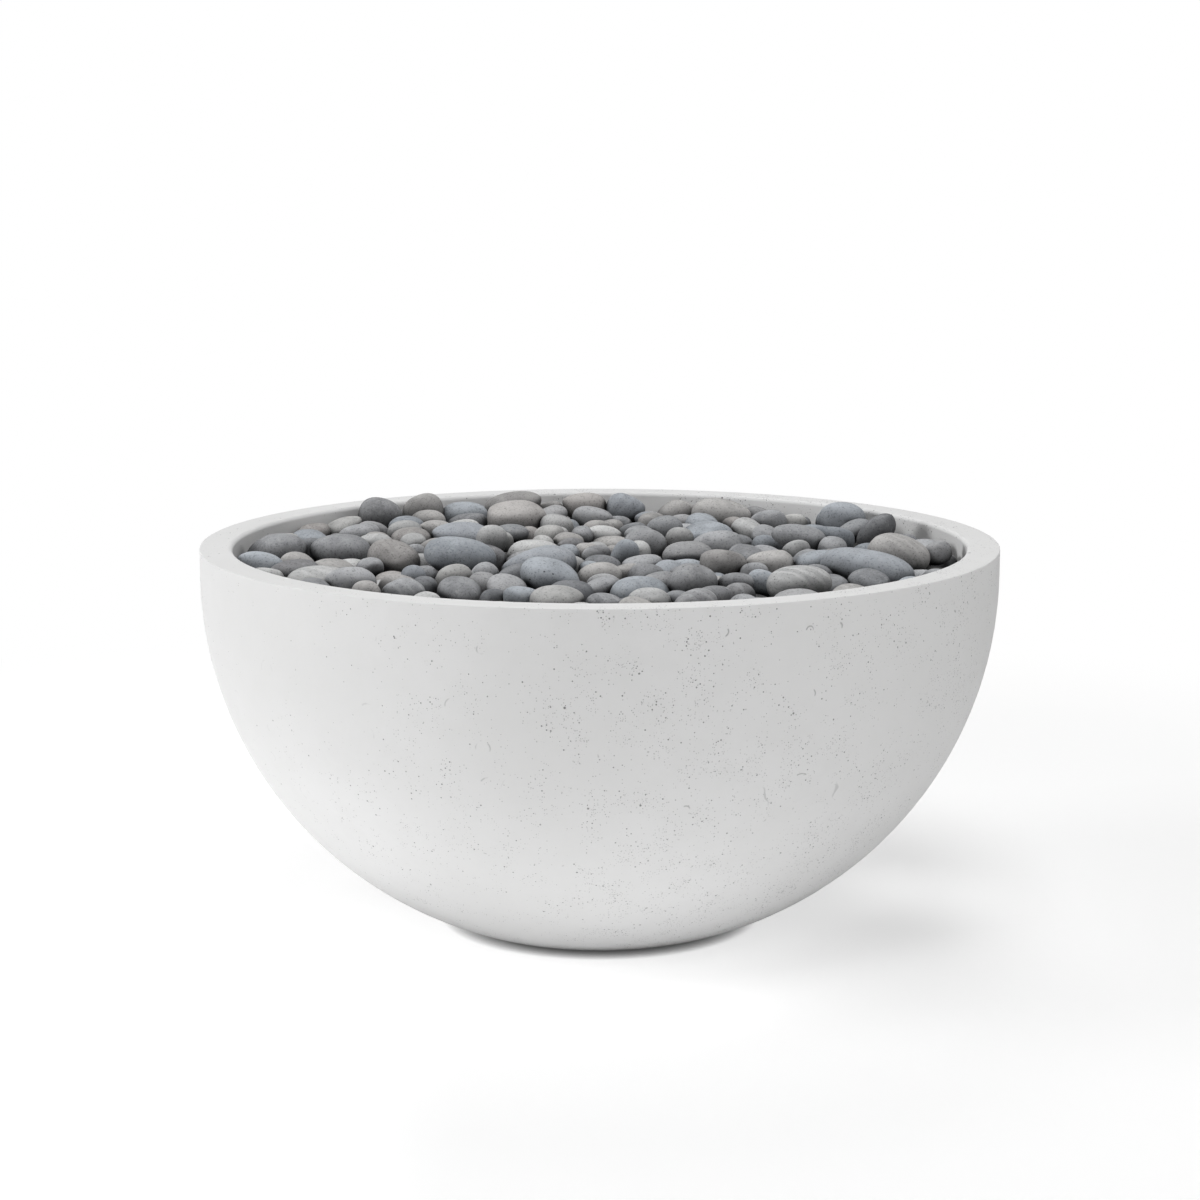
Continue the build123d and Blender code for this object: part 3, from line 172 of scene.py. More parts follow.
# %% Finish helpers
class Finish(Graph):
    """A material under construction: its graph, its main shader and its coordinates."""

    def __init__(self, name):
        self.material = bpy.data.materials.new(name)
        self.material.use_nodes = True
        super().__init__(self.material.node_tree)
        self.shader = self.tree.nodes["Principled BSDF"]
        self.place = self.add("ShaderNodeTexCoord").outputs["Object"]

    def stored(self, label):
        """A vector that the mesh keeps at each of its points."""
        return self.add("ShaderNodeAttribute", {"attribute_name": label}).outputs["Vector"]

    def noise(self, scale, detail=3.0, roughness=0.5, place=None, distortion=0.0, kind="Fac"):
        """A cloudy pattern with so many grains to the metre."""
        node = self.add(
            "ShaderNodeTexNoise",
            Vector=place or self.place,
            Scale=scale,
            Detail=detail,
            Roughness=roughness,
            Distortion=distortion,
        )
        return node.outputs[kind]

    def ramp(self, value, low, high, out_low=0.0, out_high=1.0):
        """Carry a value from low and high to a new range, with soft ends and nothing past them."""
        node = self.add("ShaderNodeMapRange", {"interpolation_type": "SMOOTHSTEP"})
        for given, socket in zip((value, low, high, out_low, out_high), node.inputs):
            self.plug(given, socket)
        return node.outputs[0]

    def mix(self, share, first, second, blend="MIX"):
        """Blend two colours."""
        node = self.add("ShaderNodeMix", {"data_type": "RGBA", "blend_type": blend})
        for value, socket in zip((share, first, second), (node.inputs[0], *node.inputs[6:8])):
            self.plug(value, socket)
        return node.outputs[2]

    def bump(self, height, strength, distance, under=None):
        """Turn a height pattern into a tilt of the surface, on top of an earlier one."""
        node = self.add("ShaderNodeBump", Strength=strength, Distance=distance, Height=height)
        if under is not None:
            self.plug(under, node.inputs["Normal"])
        return node.outputs[0]

    def wear(self, colour, roughness, normal):
        """Give the finished colour, roughness and surface to the main shader."""
        self.plug(colour, self.shader.inputs["Base Color"])
        self.plug(roughness, self.shader.inputs["Roughness"])
        self.plug(normal, self.shader.inputs["Normal"])
        return self.material


# %% [markdown]
# Many colours here are plain greys, and a grey needs only one number. A finish goes onto a part
# of the frame in place of the plain material that it came with. The mesh stays as it is.


# %% Greys and coats
def grey(level):
    """A colour with the same level of red, green and blue."""
    return (level, level, level, 1)


def coat(node_names, material):
    """Give a finish to parts of the frame."""
    for name in node_names:
        part = frame["nodes"][name]
        part.data.materials.clear()
        part.data.materials.append(material)
    print(material.name, "on", ", ".join(node_names))


# %% [markdown]
# ## Cast concrete
#
# The bowl is cast in a mould and left nearly white. Three things make it read as concrete and not
# as paint. Air bubbles against the mould leave **pinholes**, one to three millimetres wide, and
# they come in drifts: crowded in one place, almost none in the next. The cement dries unevenly,
# so the white is faintly **clouded**. And a trowel or the mould leaves a few short **marks**.
#
# Pinholes could be cut into the mesh, but there are thousands. A Voronoi pattern does it better:
# each cell of the pattern holds one point, the distance to it draws a round hole, and a random
# colour that each cell comes with decides whether that cell has a hole at all. A slow noise moves
# that decision up and down, which makes the drifts. The same pattern sinks the holes by a bump and
# paints them dark grey, as painted shade inside them.
#
# The distance can draw a thin ring as well as a disc. When a noise rubs out most of the ring, a
# short curved scratch is left, such as a grain of sand makes under the trowel. The scratches are
# sunk and painted dark in the same way, as painted shade.


# %% Pinholes and scratches
def cells(finish, per_metre):
    """Cells with a point in each: the distance to it, in cells, and two random numbers."""
    pattern = finish.add(
        "ShaderNodeTexVoronoi",
        {"feature": "F1", "distance": "EUCLIDEAN"},
        Vector=finish.place,
        Scale=per_metre,
        Randomness=1.0,
    )
    chance = finish.add("ShaderNodeSeparateColor", Color=pattern.outputs["Color"]).outputs
    return pattern.outputs["Distance"], chance[0], chance[1]


def pinholes(finish, per_metre, radius, share, drift):
    """Round holes up to a radius in metres, in a share of the cells that grows with drift."""
    smallest, floor_share = 0.45, 0.45
    away, luck, size_luck = cells(finish, per_metre)
    chosen = finish.maths("LESS_THAN", luck, finish.times(drift, share))
    size = finish.ramp(size_luck, 0.0, 1.0, smallest, 1.0)
    reach = finish.times(size, radius * per_metre)
    hole = finish.ramp(away, finish.times(reach, floor_share), reach, 1.0, 0.0)
    return finish.times(hole, chosen)


def scratches(finish, per_metre, radius, thickness, share):
    """Curved lines: parts of rings up to a radius in metres, in a share of the cells."""
    smallest = 0.4
    away, luck, size_luck = cells(finish, per_metre)
    chosen = finish.maths("LESS_THAN", luck, share)
    size = finish.ramp(size_luck, 0.0, 1.0, smallest, 1.0)
    ring = finish.times(size, radius * per_metre)
    off_ring = finish.maths("ABSOLUTE", finish.maths("SUBTRACT", away, ring))
    line = finish.ramp(off_ring, 0.0, thickness * per_metre, 1.0, 0.0)
    not_rubbed_out = finish.ramp(finish.noise(70.0, 1.0), 0.55, 0.62)
    return finish.times(finish.times(line, not_rubbed_out), chosen)


# %% [markdown]
# The drifts are the product of a wide noise and a narrow one, so that the holes lie in clusters
# and the clusters in a few broad patches. Towards the left side of the wall the drifts thin out.
# Four sizes of hole are laid over each other.

# %% Holes in the concrete
concrete = Finish("concrete")
rightward = concrete.ramp(concrete.split(concrete.place)[0], -0.38, 0.05, 0.14, 1.0)
patches = concrete.ramp(concrete.noise(6.5, 3.0), 0.34, 0.60, 0.20, 1.0)
clusters = concrete.ramp(concrete.noise(34.0, 2.0), 0.42, 0.64, 0.10, 1.0)
drifts = concrete.times(concrete.times(patches, clusters), rightward)
hole_kinds = (  # cells per metre, radius in metres, share of the cells, depth, where
    (430.0, 0.0009, 1.0, 0.55, drifts),
    (215.0, 0.0012, 1.0, 1.0, drifts),
    (80.0, 0.0018, 0.45, 1.0, drifts),
    (46.0, 0.0019, 0.12, 1.0, rightward),
)
curls = concrete.times(scratches(concrete, 24.0, 0.011, 0.0013, 0.35), rightward)
holes = concrete.times(curls, 0.6)
for per_metre, radius, share, depth, where in hole_kinds:
    kind = concrete.times(pinholes(concrete, per_metre, radius, share, where), depth)
    holes = concrete.maths("MAXIMUM", holes, kind)
print(len(hole_kinds), "sizes of pinhole and one of scratch")

# %% [markdown]
# A mark is a short groove at one spot. It is not cut into the wall: it is painted darker grey, as
# painted shade in the groove. The Mapping node can carry the coordinates into a mark's own frame,
# where the groove is the region less than one unit from its centre. A little noise added before
# that keeps its edge from being a perfect ellipse. To put the spot on the wall, the script needs
# the bowl's outline: one arc from the foot up, and then an upright band.

# %% Trowel marks
outer_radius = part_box("bowl")[1].x
foot_radius = 0.166
arc_rise = 0.422
upright_from = 0.425
wobble = 0.02
into_wall = 0.02


def wall_radius(height):
    """How far the wall is from the axis at a height."""
    arc_run = outer_radius - foot_radius
    arc_radius = (arc_run**2 + arc_rise**2) / (2 * arc_run)
    drop = max(0.0, upright_from - height)
    return outer_radius - arc_radius + math.sqrt(arc_radius**2 - drop**2)


def trowel_mark(finish, bent_place, across, height, length, width, turn):
    """A groove on the front of the bowl, at a distance across and a height in metres."""
    spot = (across, -math.sqrt(wall_radius(height) ** 2 - across**2), height)
    local = finish.add(
        "ShaderNodeMapping",
        {"vector_type": "TEXTURE"},
        Vector=bent_place,
        Location=spot,
        Rotation=(0, turn, 0),
        Scale=(width, into_wall, length),
    ).outputs[0]
    return finish.ramp(finish.distance(local), 0.5, 1.0, 1.0, 0.0)


bend = concrete.add("ShaderNodeVectorMath", {"operation": "MULTIPLY_ADD"})
for value, socket in zip(
    (concrete.noise(30.0, kind="Color"), (wobble, wobble, wobble), concrete.place), bend.inputs
):
    concrete.plug(value, socket)
mark_places = (  # across, height, length and width in metres, turn in radians
    (-0.305, 0.262, 0.022, 0.0022, -0.2),
    (-0.315, 0.250, 0.0022, 0.012, 0.1),
    (-0.092, 0.272, 0.014, 0.0016, 0.4),
    (0.188, 0.250, 0.018, 0.0016, -0.5),
    (0.262, 0.246, 0.012, 0.0018, 0.3),
    (-0.100, 0.120, 0.004, 0.006, 0.2),
)
marks = 0.0
for mark_place in mark_places:
    mark = trowel_mark(concrete, bend.outputs[0], *mark_place)
    marks = concrete.maths("MAXIMUM", mark, marks)
print(len(mark_places), "trowel marks on a wall", round(outer_radius, 3), "m in radius")

# %% [markdown]
# The concrete's colour starts from two whites that differ by a few percent, in broad clouds and
# in a finer mottle. Roughness follows the same clouds, because denser cement dries a little
# smoother. A very fine grain goes under everything, so that even the smooth places aren't
# plastic.

# %% Concrete
dull_white, bright_white = (0.765, 0.765, 0.762, 1), grey(0.80)
mottled_white = (0.745, 0.745, 0.74, 1)
groove_shade_grey, hole_shade_grey = grey(0.45), grey(0.16)

clouds = concrete.noise(3.2, 4.0, 0.55)
mottle = concrete.noise(26.0, 5.0, 0.6)
grain = concrete.noise(900.0, 2.0, 0.6)
white = concrete.mix(concrete.ramp(clouds, 0.3, 0.7), dull_white, bright_white)
white = concrete.mix(concrete.ramp(mottle, 0.35, 0.7, 0.0, 0.35), white, mottled_white)
# painted shade: each trowel mark is painted darker grey for the shade in its groove
white = concrete.mix(concrete.times(marks, 0.5), white, groove_shade_grey)
# painted shade: the holes and scratches are painted dark grey for the shade inside them
white = concrete.mix(concrete.times(holes, 0.85), white, hole_shade_grey)
surface = concrete.bump(grain, 0.12, 0.0004)
surface = concrete.bump(mottle, 0.15, 0.0012, surface)
surface = concrete.bump(concrete.times(holes, -1.0), 0.6, 0.0012, surface)
concrete.wear(white, concrete.ramp(clouds, 0.3, 0.7, 0.72, 0.84), surface)
concrete.shader.inputs["Specular IOR Level"].default_value = 0.35
coat(["bowl"], concrete.material)

# %% [markdown]
# ## River stones
#
# The frame holds every stone as an ellipsoid in the place where it came to rest. Real pebbles are
# less regular: one end is blunter, one side flatter, and the whole is a bit fuller than an
# ellipsoid. So each one is read back from the frame and modelled again on the same spot.
#
# The stones of one group share one mesh. Which points belong to one stone is found by passing
# numbers along the edges: every point takes the lowest number among its neighbours, again and
# again, until each stone has a single number.

# %% Tell the stones apart
stone_groups = ["base", "blue", "grey", "warm", "light", "dark"]


def loose_parts(part):
    """The vertices of each separate piece of a mesh, as arrays of points."""
    mesh = part.data
    points = np.empty(len(mesh.vertices) * 3)
    mesh.vertices.foreach_get("co", points)
    points = points.reshape(-1, 3)
    ends = np.empty(len(mesh.edges) * 2, int)
    mesh.edges.foreach_get("vertices", ends)
    a, b = ends.reshape(-1, 2).T
    number = np.arange(len(points))
    while True:
        lowest = np.minimum(number[a], number[b])
        before = number.copy()
        np.minimum.at(number, a, lowest)
        np.minimum.at(number, b, lowest)
        number = number[number]
        if (number == before).all():
            break
    order = np.argsort(number, kind="stable")
    cuts = np.flatnonzero(np.diff(number[order])) + 1
    return [points[chosen] for chosen in np.split(order, cuts)]


stone_points = {g: loose_parts(frame["nodes"][f"river_stones_{g}"]) for g in stone_groups}
print(sum(len(found) for found in stone_points.values()), "stones in", len(stone_groups), "groups")

# %% [markdown]
# An ellipsoid has nine unknown numbers, its centre, three lengths and three angles, and a second
# degree equation that all of its points satisfy. With some hundred points on each stone, a least
# squares fit gives these numbers exactly, and the eigenvectors of the fitted matrix are the
# stone's own axes.


# %% Measure the stones
def fitted_stone(points):
    """Centre, half lengths and axes of the ellipsoid through a set of points."""
    middle = points.mean(axis=0)
    size = np.abs(points - middle).max()
    x, y, z = ((points - middle) / size).T
    terms = np.stack([x * x, y * y, z * z, 2 * x * y, 2 * x * z, 2 * y * z, x, y, z], axis=1)
    q = np.linalg.lstsq(terms, np.ones(len(points)), rcond=None)[0]
    shape = np.array([[q[0], q[3], q[4]], [q[3], q[1], q[5]], [q[4], q[5], q[2]]])
    shift = -np.linalg.solve(shape, q[6:9]) / 2
    values, axes = np.linalg.eigh(shape / (1 + shift @ shape @ shift))
    return middle + shift * size, size / np.sqrt(values), axes


millimetres = 1000
stones = {group: [fitted_stone(p) for p in found] for group, found in stone_points.items()}
for group, found in stones.items():
    spans = [round(2 * half[0] * millimetres) for _, half, _ in found]
    print(group, len(found), "stones,", min(spans), "to", max(spans), "mm long")

# %% [markdown]
# A pebble starts as a ball of triangles. Four gentle changes turn the ball into a stone: the
# p-norm with an exponent a little over two makes it fuller, a taper along its length makes one
# end blunter, a few long waves make it lumpy, and a soft cut flattens one side. The numbers come
# from a random generator with a fixed seed for each group, so the same stones come out every
# time.

# %% Shape a pebble
fullness = 2.25
wave_count, wave_steepness = 5, 1.5
lump_heights = (0.008, 0.02)
flat_starts, flat_depth = (0.5, 0.8), 0.45
most_taper = 0.2
margin = 1.005

ball = bmesh.new()
bmesh.ops.create_icosphere(ball, subdivisions=4, radius=1.0)
ball_points = np.array([v.co[:] for v in ball.verts])
ball_faces = np.array([[v.index for v in f.verts] for f in ball.faces])
ball.free()
print(len(ball_points), "points in each pebble")


def pebble_points(half, luck):
    """The points of one pebble in its own frame, in metres."""
    norm = (np.abs(ball_points) ** fullness).sum(axis=1, keepdims=True) ** (1 / fullness)
    unit = ball_points / norm
    waves = luck.normal(0, wave_steepness, (wave_count, 3))
    starts = luck.uniform(0, 2 * math.pi, wave_count)
    lumps = np.sin(ball_points @ waves.T + starts).sum(axis=1) * luck.uniform(*lump_heights)
    flat_side = luck.normal(0, 1, 3)
    flat_side /= np.linalg.norm(flat_side)
    over = np.clip(ball_points @ flat_side - luck.uniform(*flat_starts), 0, None)
    unit = unit * (1 + lumps - flat_depth * over)[:, None]
    longest = int(np.argmax(half))
    taper = 1 + luck.uniform(-most_taper, most_taper) * unit[:, longest]
    for axis in range(3):
        if axis != longest:
            unit[:, axis] *= taper
    reach = np.abs(unit).max(axis=0)
    return unit / reach * half * margin


# %% [markdown]
# Every vertex also keeps three things for the material: the stone's own tint, how pitted, banded
# and dusty it is, and its place in the stone's own frame, so that a band runs through the stone
# and not through the whole heap. That place is shifted by a few metres for each stone, so that
# no two stones cut the same piece out of a pattern.

# %% Fill a mesh with pebbles
first_seed = 100
pattern_shift = 5


def make_pebbles(group, name):
    """One mesh with every pebble of a group, and the values that the material reads."""
    luck = np.random.default_rng(first_seed + stone_groups.index(group))
    points, faces, local, tints, habits = [], [], [], [], []
    for number, (centre, half, axes) in enumerate(stones[group]):
        own = pebble_points(half, luck)
        points.append(centre + own @ axes.T)
        faces.append(ball_faces + number * len(ball_points))
        local.append(own + luck.uniform(-pattern_shift, pattern_shift, 3))
        tints.append(np.tile(luck.uniform(0, 1, 3), (len(own), 1)))
        habit = (luck.uniform() ** 3, luck.uniform() ** 4, luck.uniform())
        habits.append(np.tile(habit, (len(own), 1)))
    mesh = bpy.data.meshes.new(name)
    mesh.from_pydata(np.concatenate(points).tolist(), [], np.concatenate(faces).tolist())
    for label, values in (("stone_place", local), ("stone_tint", tints), ("stone_habit", habits)):
        layer = mesh.attributes.new(label, "FLOAT_VECTOR", "POINT")
        layer.data.foreach_set("vector", np.concatenate(values).astype(np.float32).ravel())
    mesh.shade_smooth()
    return new_object(name, mesh)


# %% [markdown]
# The colour of a pebble is a slow mix of two or three greys. Some stones have bands, which are a
# wave that runs through the stone's own frame. Fine freckles break up the rest.


# %% Greys of a stone
def stone_greys(stone, clouds, deep, pale, vein):
    """The greys of the stone itself, with its bands and freckles."""
    tint, warmth, _ = stone.split(stone.stored("stone_tint"))
    _, banded, _ = stone.split(stone.stored("stone_habit"))
    share = stone.maths("ADD", stone.times(tint, 0.7), stone.ramp(clouds, 0.3, 0.7, -0.1, 0.4))
    colour = stone.mix(stone.maths("MAXIMUM", share, 0.0, clamp=True), deep, pale)
    colour = stone.mix(stone.times(stone.ramp(warmth, 0.55, 1.0), 0.35), colour, vein)
    wave = stone.add(
        "ShaderNodeTexWave",
        {"wave_type": "BANDS", "bands_direction": "DIAGONAL"},
        Vector=stone.place,
        Scale=34.0,
        Distortion=3.5,
        Detail=2.5,
        Detail_Scale=1.4,
    ).outputs["Fac"]
    bands = stone.times(stone.ramp(wave, 0.55, 0.95), stone.ramp(banded, 0.1, 0.8, 0.0, 0.5))
    colour = stone.mix(bands, colour, pale)
    freckles = stone.ramp(stone.noise(420.0, 2.0, 0.6), 0.52, 0.70, 0.0, 0.45)
    return stone.mix(freckles, colour, deep, "MULTIPLY")


# %% [markdown]
# Two steps follow the place of a stone in the heap, and both are painted light and shade. What
# faces the sky is painted lighter, for the light from above, and what lies close to a neighbour is
# painted darker, for the shade between the stones. An ambient occlusion node finds both the broad
# dim side of a stone and, with a short reach, the narrow gap itself.

# %% Painted light and shade in the heap
top_light_gain = 1.42
gap_shade_steps = (  # reach in metres, openness where the painted shade is full and where it ends, what it leaves
    (0.045, 0.10, 0.95, 0.22),
    (0.010, 0.10, 0.80, 0.06),
)


def painted_light_and_shade(stone, colour):
    """Paint what faces the sky lighter and what lies close to a neighbour darker: painted light
    and shade.
    """
    upward = stone.split(stone.add("ShaderNodeNewGeometry").outputs["Normal"])[2]
    # painted light: what faces the sky is made lighter
    top_lit = stone.mix(1.0, colour, grey(top_light_gain), "MULTIPLY")
    colour = stone.mix(stone.ramp(upward, 0.1, 0.95), colour, top_lit)
    # painted shade: what lies close to a neighbour is made darker, first broadly and then in the
    # narrow gap
    for reach, full, none, left in gap_shade_steps:
        openness = stone.add("ShaderNodeAmbientOcclusion", {"samples": 6}, Distance=reach)
        shaded = stone.mix(1.0, colour, grey(left), "MULTIPLY")
        shade_share = stone.ramp(openness.outputs["AO"], full, none, 1.0, 0.0)
        colour = stone.mix(shade_share, colour, shaded)
    return colour


# %% [markdown]
# Pale dust lies on some stones, and some have pits, which are the pinholes of the concrete once
# more, but painted darker still, as painted shade at the bottom of a pit. River stones that lie
# dry are matt, so the roughness stays high and only wanders a little.

# %% Stone finish
dust_colour, pit_shade_colour = (0.52, 0.52, 0.51, 1), grey(0.05)


def stone_finish(name, deep, pale, vein):
    """A water-worn stone between a deep and a pale colour, with a warm share of a third one."""
    stone = Finish(name)
    stone.place = stone.stored("stone_place")
    pitted, _, dusty = stone.split(stone.stored("stone_habit"))
    clouds = stone.noise(38.0, 5.0, 0.55, distortion=0.6)
    colour = stone_greys(stone, clouds, deep, pale, vein)
    dust = stone.ramp(stone.noise(150.0, 4.0, 0.65), 0.50, 0.75, 0.0, 0.25)
    colour = stone.mix(stone.times(dust, dusty), colour, dust_colour)
    pit_patches = stone.ramp(stone.noise(30.0, 2.0), 0.5, 0.62)
    pit_drift = stone.times(pit_patches, stone.ramp(pitted, 0.15, 0.6))
    pits = pinholes(stone, 190.0, 0.0016, 0.6, pit_drift)
    # painted shade: the pits are painted nearly black for the shade inside them
    colour = stone.mix(stone.times(pits, 0.7), colour, pit_shade_colour)
    surface = stone.bump(stone.noise(600.0, 3.0, 0.6), 0.16, 0.0005)
    surface = stone.bump(clouds, 0.22, 0.004, surface)
    surface = stone.bump(stone.times(pits, -1.0), 0.7, 0.0015, surface)
    # the colour goes on with the painted light and shade of the heap
    stone.wear(painted_light_and_shade(stone, colour), stone.ramp(clouds, 0.3, 0.7, 0.58, 0.74), surface)
    stone.shader.inputs["Specular IOR Level"].default_value = 0.3
    return stone.material


# %% [markdown]
# The five groups that show are named for the main tint of their stones. The colours are close
# together: the heap looks grey from afar, and the blue and brown casts only show side by side.
# The lower layer gets the same finish in much darker greys: painted shade, for the deep gaps under
# the stones on top, through which it is seen.

# %% Dress the stones
stone_colours = {  # deep, pale, vein
    # painted shade: the lower layer is nearly black, for the shade deep in the heap
    "base": (grey(0.04), grey(0.10), (0.08, 0.075, 0.070, 1)),
    "blue": ((0.158, 0.172, 0.190, 1), (0.340, 0.364, 0.392, 1), (0.250, 0.255, 0.275, 1)),
    "grey": ((0.158, 0.162, 0.170, 1), (0.352, 0.358, 0.370, 1), (0.270, 0.264, 0.262, 1)),
    "warm": ((0.190, 0.186, 0.184, 1), (0.400, 0.392, 0.384, 1), (0.335, 0.305, 0.290, 1)),
    "light": ((0.265, 0.268, 0.270, 1), (0.470, 0.472, 0.470, 1), (0.390, 0.375, 0.345, 1)),
    "dark": ((0.110, 0.115, 0.124, 1), (0.235, 0.242, 0.252, 1), (0.190, 0.178, 0.176, 1)),
}
for group, colours in stone_colours.items():
    pebbles = make_pebbles(group, f"pebbles_{group}")
    pebbles.data.materials.append(stone_finish(f"stone_{group}", *colours))
    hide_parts(f"river_stones_{group}")
    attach(pebbles, "fire_pit")
print("pebbles of", len(stone_colours), "groups in place")

# %% [markdown]
# ## Metals
#
# Steel and brass are told apart by colour, but a metal looks real through its roughness. Sheet
# steel is brushed in one direction, so its roughness is drawn out into long streaks. Turned and
# plated parts have a fine even grain with a few duller patches where hands have been.

# %% Metal finishes
nodes_of_slot = {}
for entry in frame["record"]["subparts"]:
    nodes_of_slot.setdefault(entry["material_slot"], []).append(entry["node"])


def metal(name, colour, dull_colour, roughness, streaks=(1, 1, 1), patina=0.3):
    """A metal with streaks drawn out along the axes where streaks is small."""
    sheet = Finish(name)
    drawn = sheet.add("ShaderNodeMapping", Vector=sheet.place, Scale=streaks).outputs[0]
    lines = sheet.noise(900.0, 3.0, 0.6, place=drawn)
    dull = sheet.ramp(sheet.noise(22.0, 4.0, 0.55), 0.45, 0.75, 0.0, patina)
    blend = sheet.mix(dull, colour, dull_colour)
    blend = sheet.mix(sheet.ramp(lines, 0.4, 0.8, 0.0, 0.25), blend, dull_colour)
    brushed = sheet.ramp(lines, 0.3, 0.7, roughness - 0.06, roughness + 0.08)
    sheet.shader.inputs["Metallic"].default_value = 1.0
    return sheet.wear(blend, sheet.maths("ADD", brushed, dull), sheet.bump(lines, 0.12, 0.0002))


metal_values = {  # clean colour, dull colour, roughness, streaks, patina
    "stainless": ((0.62, 0.62, 0.61, 1), (0.48, 0.475, 0.46, 1), 0.28, (0.03, 1, 1), 0.15),
    "plated_steel": ((0.60, 0.60, 0.58, 1), (0.42, 0.41, 0.38, 1), 0.34),
    "brass_parts": ((0.72, 0.55, 0.27, 1), (0.45, 0.32, 0.15, 1), 0.30),
    "copper_lead": ((0.72, 0.42, 0.27, 1), (0.36, 0.20, 0.12, 1), 0.32),
    "spark_rod": ((0.46, 0.45, 0.44, 1), (0.26, 0.24, 0.22, 1), 0.36),
}
metals = {slot: metal(slot, *values) for slot, values in metal_values.items()}
for slot, finish in metals.items():
    coat(nodes_of_slot[slot], finish)
coat(nodes_of_slot["battery_case"], metals["plated_steel"])

# %% [markdown]
# ## Springs
#
# The valve and the igniter each hold a spring, and a moving part pushes on it. A spring shortens
# instead of travelling. Here a copy of its coils takes the spring's place at its full length: the
# push of the joint is found, but the coils are not squashed.


# %% Copies of the springs
def give(node, joint_name):
    """Put a copy of a spring's coils in place of the spring, at its full length."""
    joints = frame["record"]["behaviour"]["joints"]
    joint = next(entry for entry in joints if entry["name"] == joint_name)
    spring = frame["nodes"][node]
    push = Vector(joint["axis"]).normalized()
    points = [spring.matrix_world @ vertex.co for vertex in spring.data.vertices]
    points.sort(key=push.dot)
    coils = new_object(node + "_coils", spring.data.copy())
    coils.matrix_world = spring.matrix_world.copy()
    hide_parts(node)
    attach(coils, "fire_pit")
    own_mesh(coils)


give("valve_spring", "knob_push")
give("igniter_spring", "igniter_press")

# %% [markdown]
# ## Rubber, plastic and ceramic
#
# The feet and the hose's cover are black rubber, faintly dusty, and the igniter's lead is red
# silicone. The knob and the button are moulded black plastic with the fine pebbled skin of an
# etched mould. The spark electrode's insulator is glazed white ceramic with a slight orange peel.


# %% Dull finishes
def moulded(name, colour, dust_colour, roughness, grain_scale, grain_depth):
    """Rubber, plastic or glaze: an even colour, a fine skin and dust in drifts."""
    skin = Finish(name)
    drift = skin.noise(40.0, 5.0, 0.6)
    grains = skin.noise(grain_scale, 2.0, 0.5)
    dusted = skin.mix(skin.ramp(drift, 0.48, 0.8, 0.0, 0.35), colour, dust_colour)
    rough = skin.ramp(drift, 0.3, 0.8, roughness - 0.05, roughness + 0.1)
    return skin.wear(dusted, rough, skin.bump(grains, 0.3, grain_depth))


dull_finishes = {  # colour, dust, roughness, grains to the metre, depth of a grain in metres
    "pad_rubber": (grey(0.035), (0.12, 0.12, 0.115, 1), 0.78, 500.0, 0.0004),
    "hose_cover": ((0.045, 0.045, 0.047, 1), (0.13, 0.13, 0.125, 1), 0.55, 350.0, 0.0003),
    "black_plastic": ((0.032, 0.032, 0.034, 1), grey(0.09), 0.42, 1400.0, 0.0002),
    "white_ceramic": ((0.84, 0.83, 0.80, 1), (0.60, 0.57, 0.52, 1), 0.18, 300.0, 0.0001),
    "lead_cover": ((0.36, 0.05, 0.035, 1), (0.30, 0.12, 0.09, 1), 0.50, 600.0, 0.0002),
}
for slot, values in dull_finishes.items():
    coat(nodes_of_slot[slot], moulded(slot, *values))

# %% [markdown]
# ## Floor
#
# The object stands on a white ground that has no horizon, and only a pale shadow tells that there
# is a ground at all. The floor is a plain square, large enough that its edges are never seen.

# %% Floor
floor_reach = 30.0
corners = [(x * floor_reach, y * floor_reach, 0) for x, y in ((-1, -1), (1, -1), (1, 1), (-1, 1))]
floor_mesh = bpy.data.meshes.new("floor")
floor_mesh.from_pydata(corners, [], [(0, 1, 2, 3)])
floor = new_object("floor", floor_mesh)
floor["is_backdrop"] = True
print("floor", 2 * floor_reach, "m wide")

# %% [markdown]
# More light would burn out the white bowl, so the whiteness is in the floor. Light Path tells the
# two uses of one surface apart: what the camera sees, and what lights the object. For the camera
# the floor glows a little of itself, under a white that takes the shadow. It glows most on the
# left, round the foot, and in a spot inside the shadow on the right. The glow stops where the
# floor is tucked under the bowl, which keeps the thin dark line at the foot. Farther out the
# floor turns into plain white, and so does the world.

# %% Ground finish
bounced_white, seen_white = grey(0.88), grey(0.60)
foot_gap = 0.012
left_edge, left_end = -0.38, -0.12
left_strength, right_strength = 0.58, 0.42
glow_spots = (  # centre, reach and strength
    ((-0.03, -0.12, 0), 0.46, 0.40),
    ((0.375, 0.09, 0), 0.20, 0.14),
)
white_from, all_white_from = 1.0, 1.9

ground = Finish("ground")
rays = ground.add("ShaderNodeLightPath").outputs
seen = ground.maths("MAXIMUM", rays["Is Camera Ray"], rays["Is Glossy Ray"])
seen = ground.maths("MAXIMUM", seen, rays["Is Transmission Ray"])
paint = ground.mix(seen, bounced_white, seen_white)
lit = ground.add("ShaderNodeBsdfDiffuse", Color=paint).outputs[0]
across = ground.split(ground.place)[0]
glows = ground.ramp(across, left_edge, left_end, left_strength, right_strength)
for centre, reach, strength in glow_spots:
    spot = ground.ramp(ground.distance(ground.place, centre), 0.0, reach, strength, 0.0)
    glows = ground.maths("ADD", glows, spot)
tucked = ground.add("ShaderNodeAmbientOcclusion", Distance=foot_gap).outputs["AO"]
glow_level = ground.times(ground.times(tucked, glows), seen)
glow = ground.add("ShaderNodeEmission", Strength=glow_level).outputs[0]
print("a glow from the left and", len(glow_spots), "spots of it")

# %% [markdown]
# The painted floor and its glow are added up, and a last mix turns them into plain white with the
# distance from the bowl.

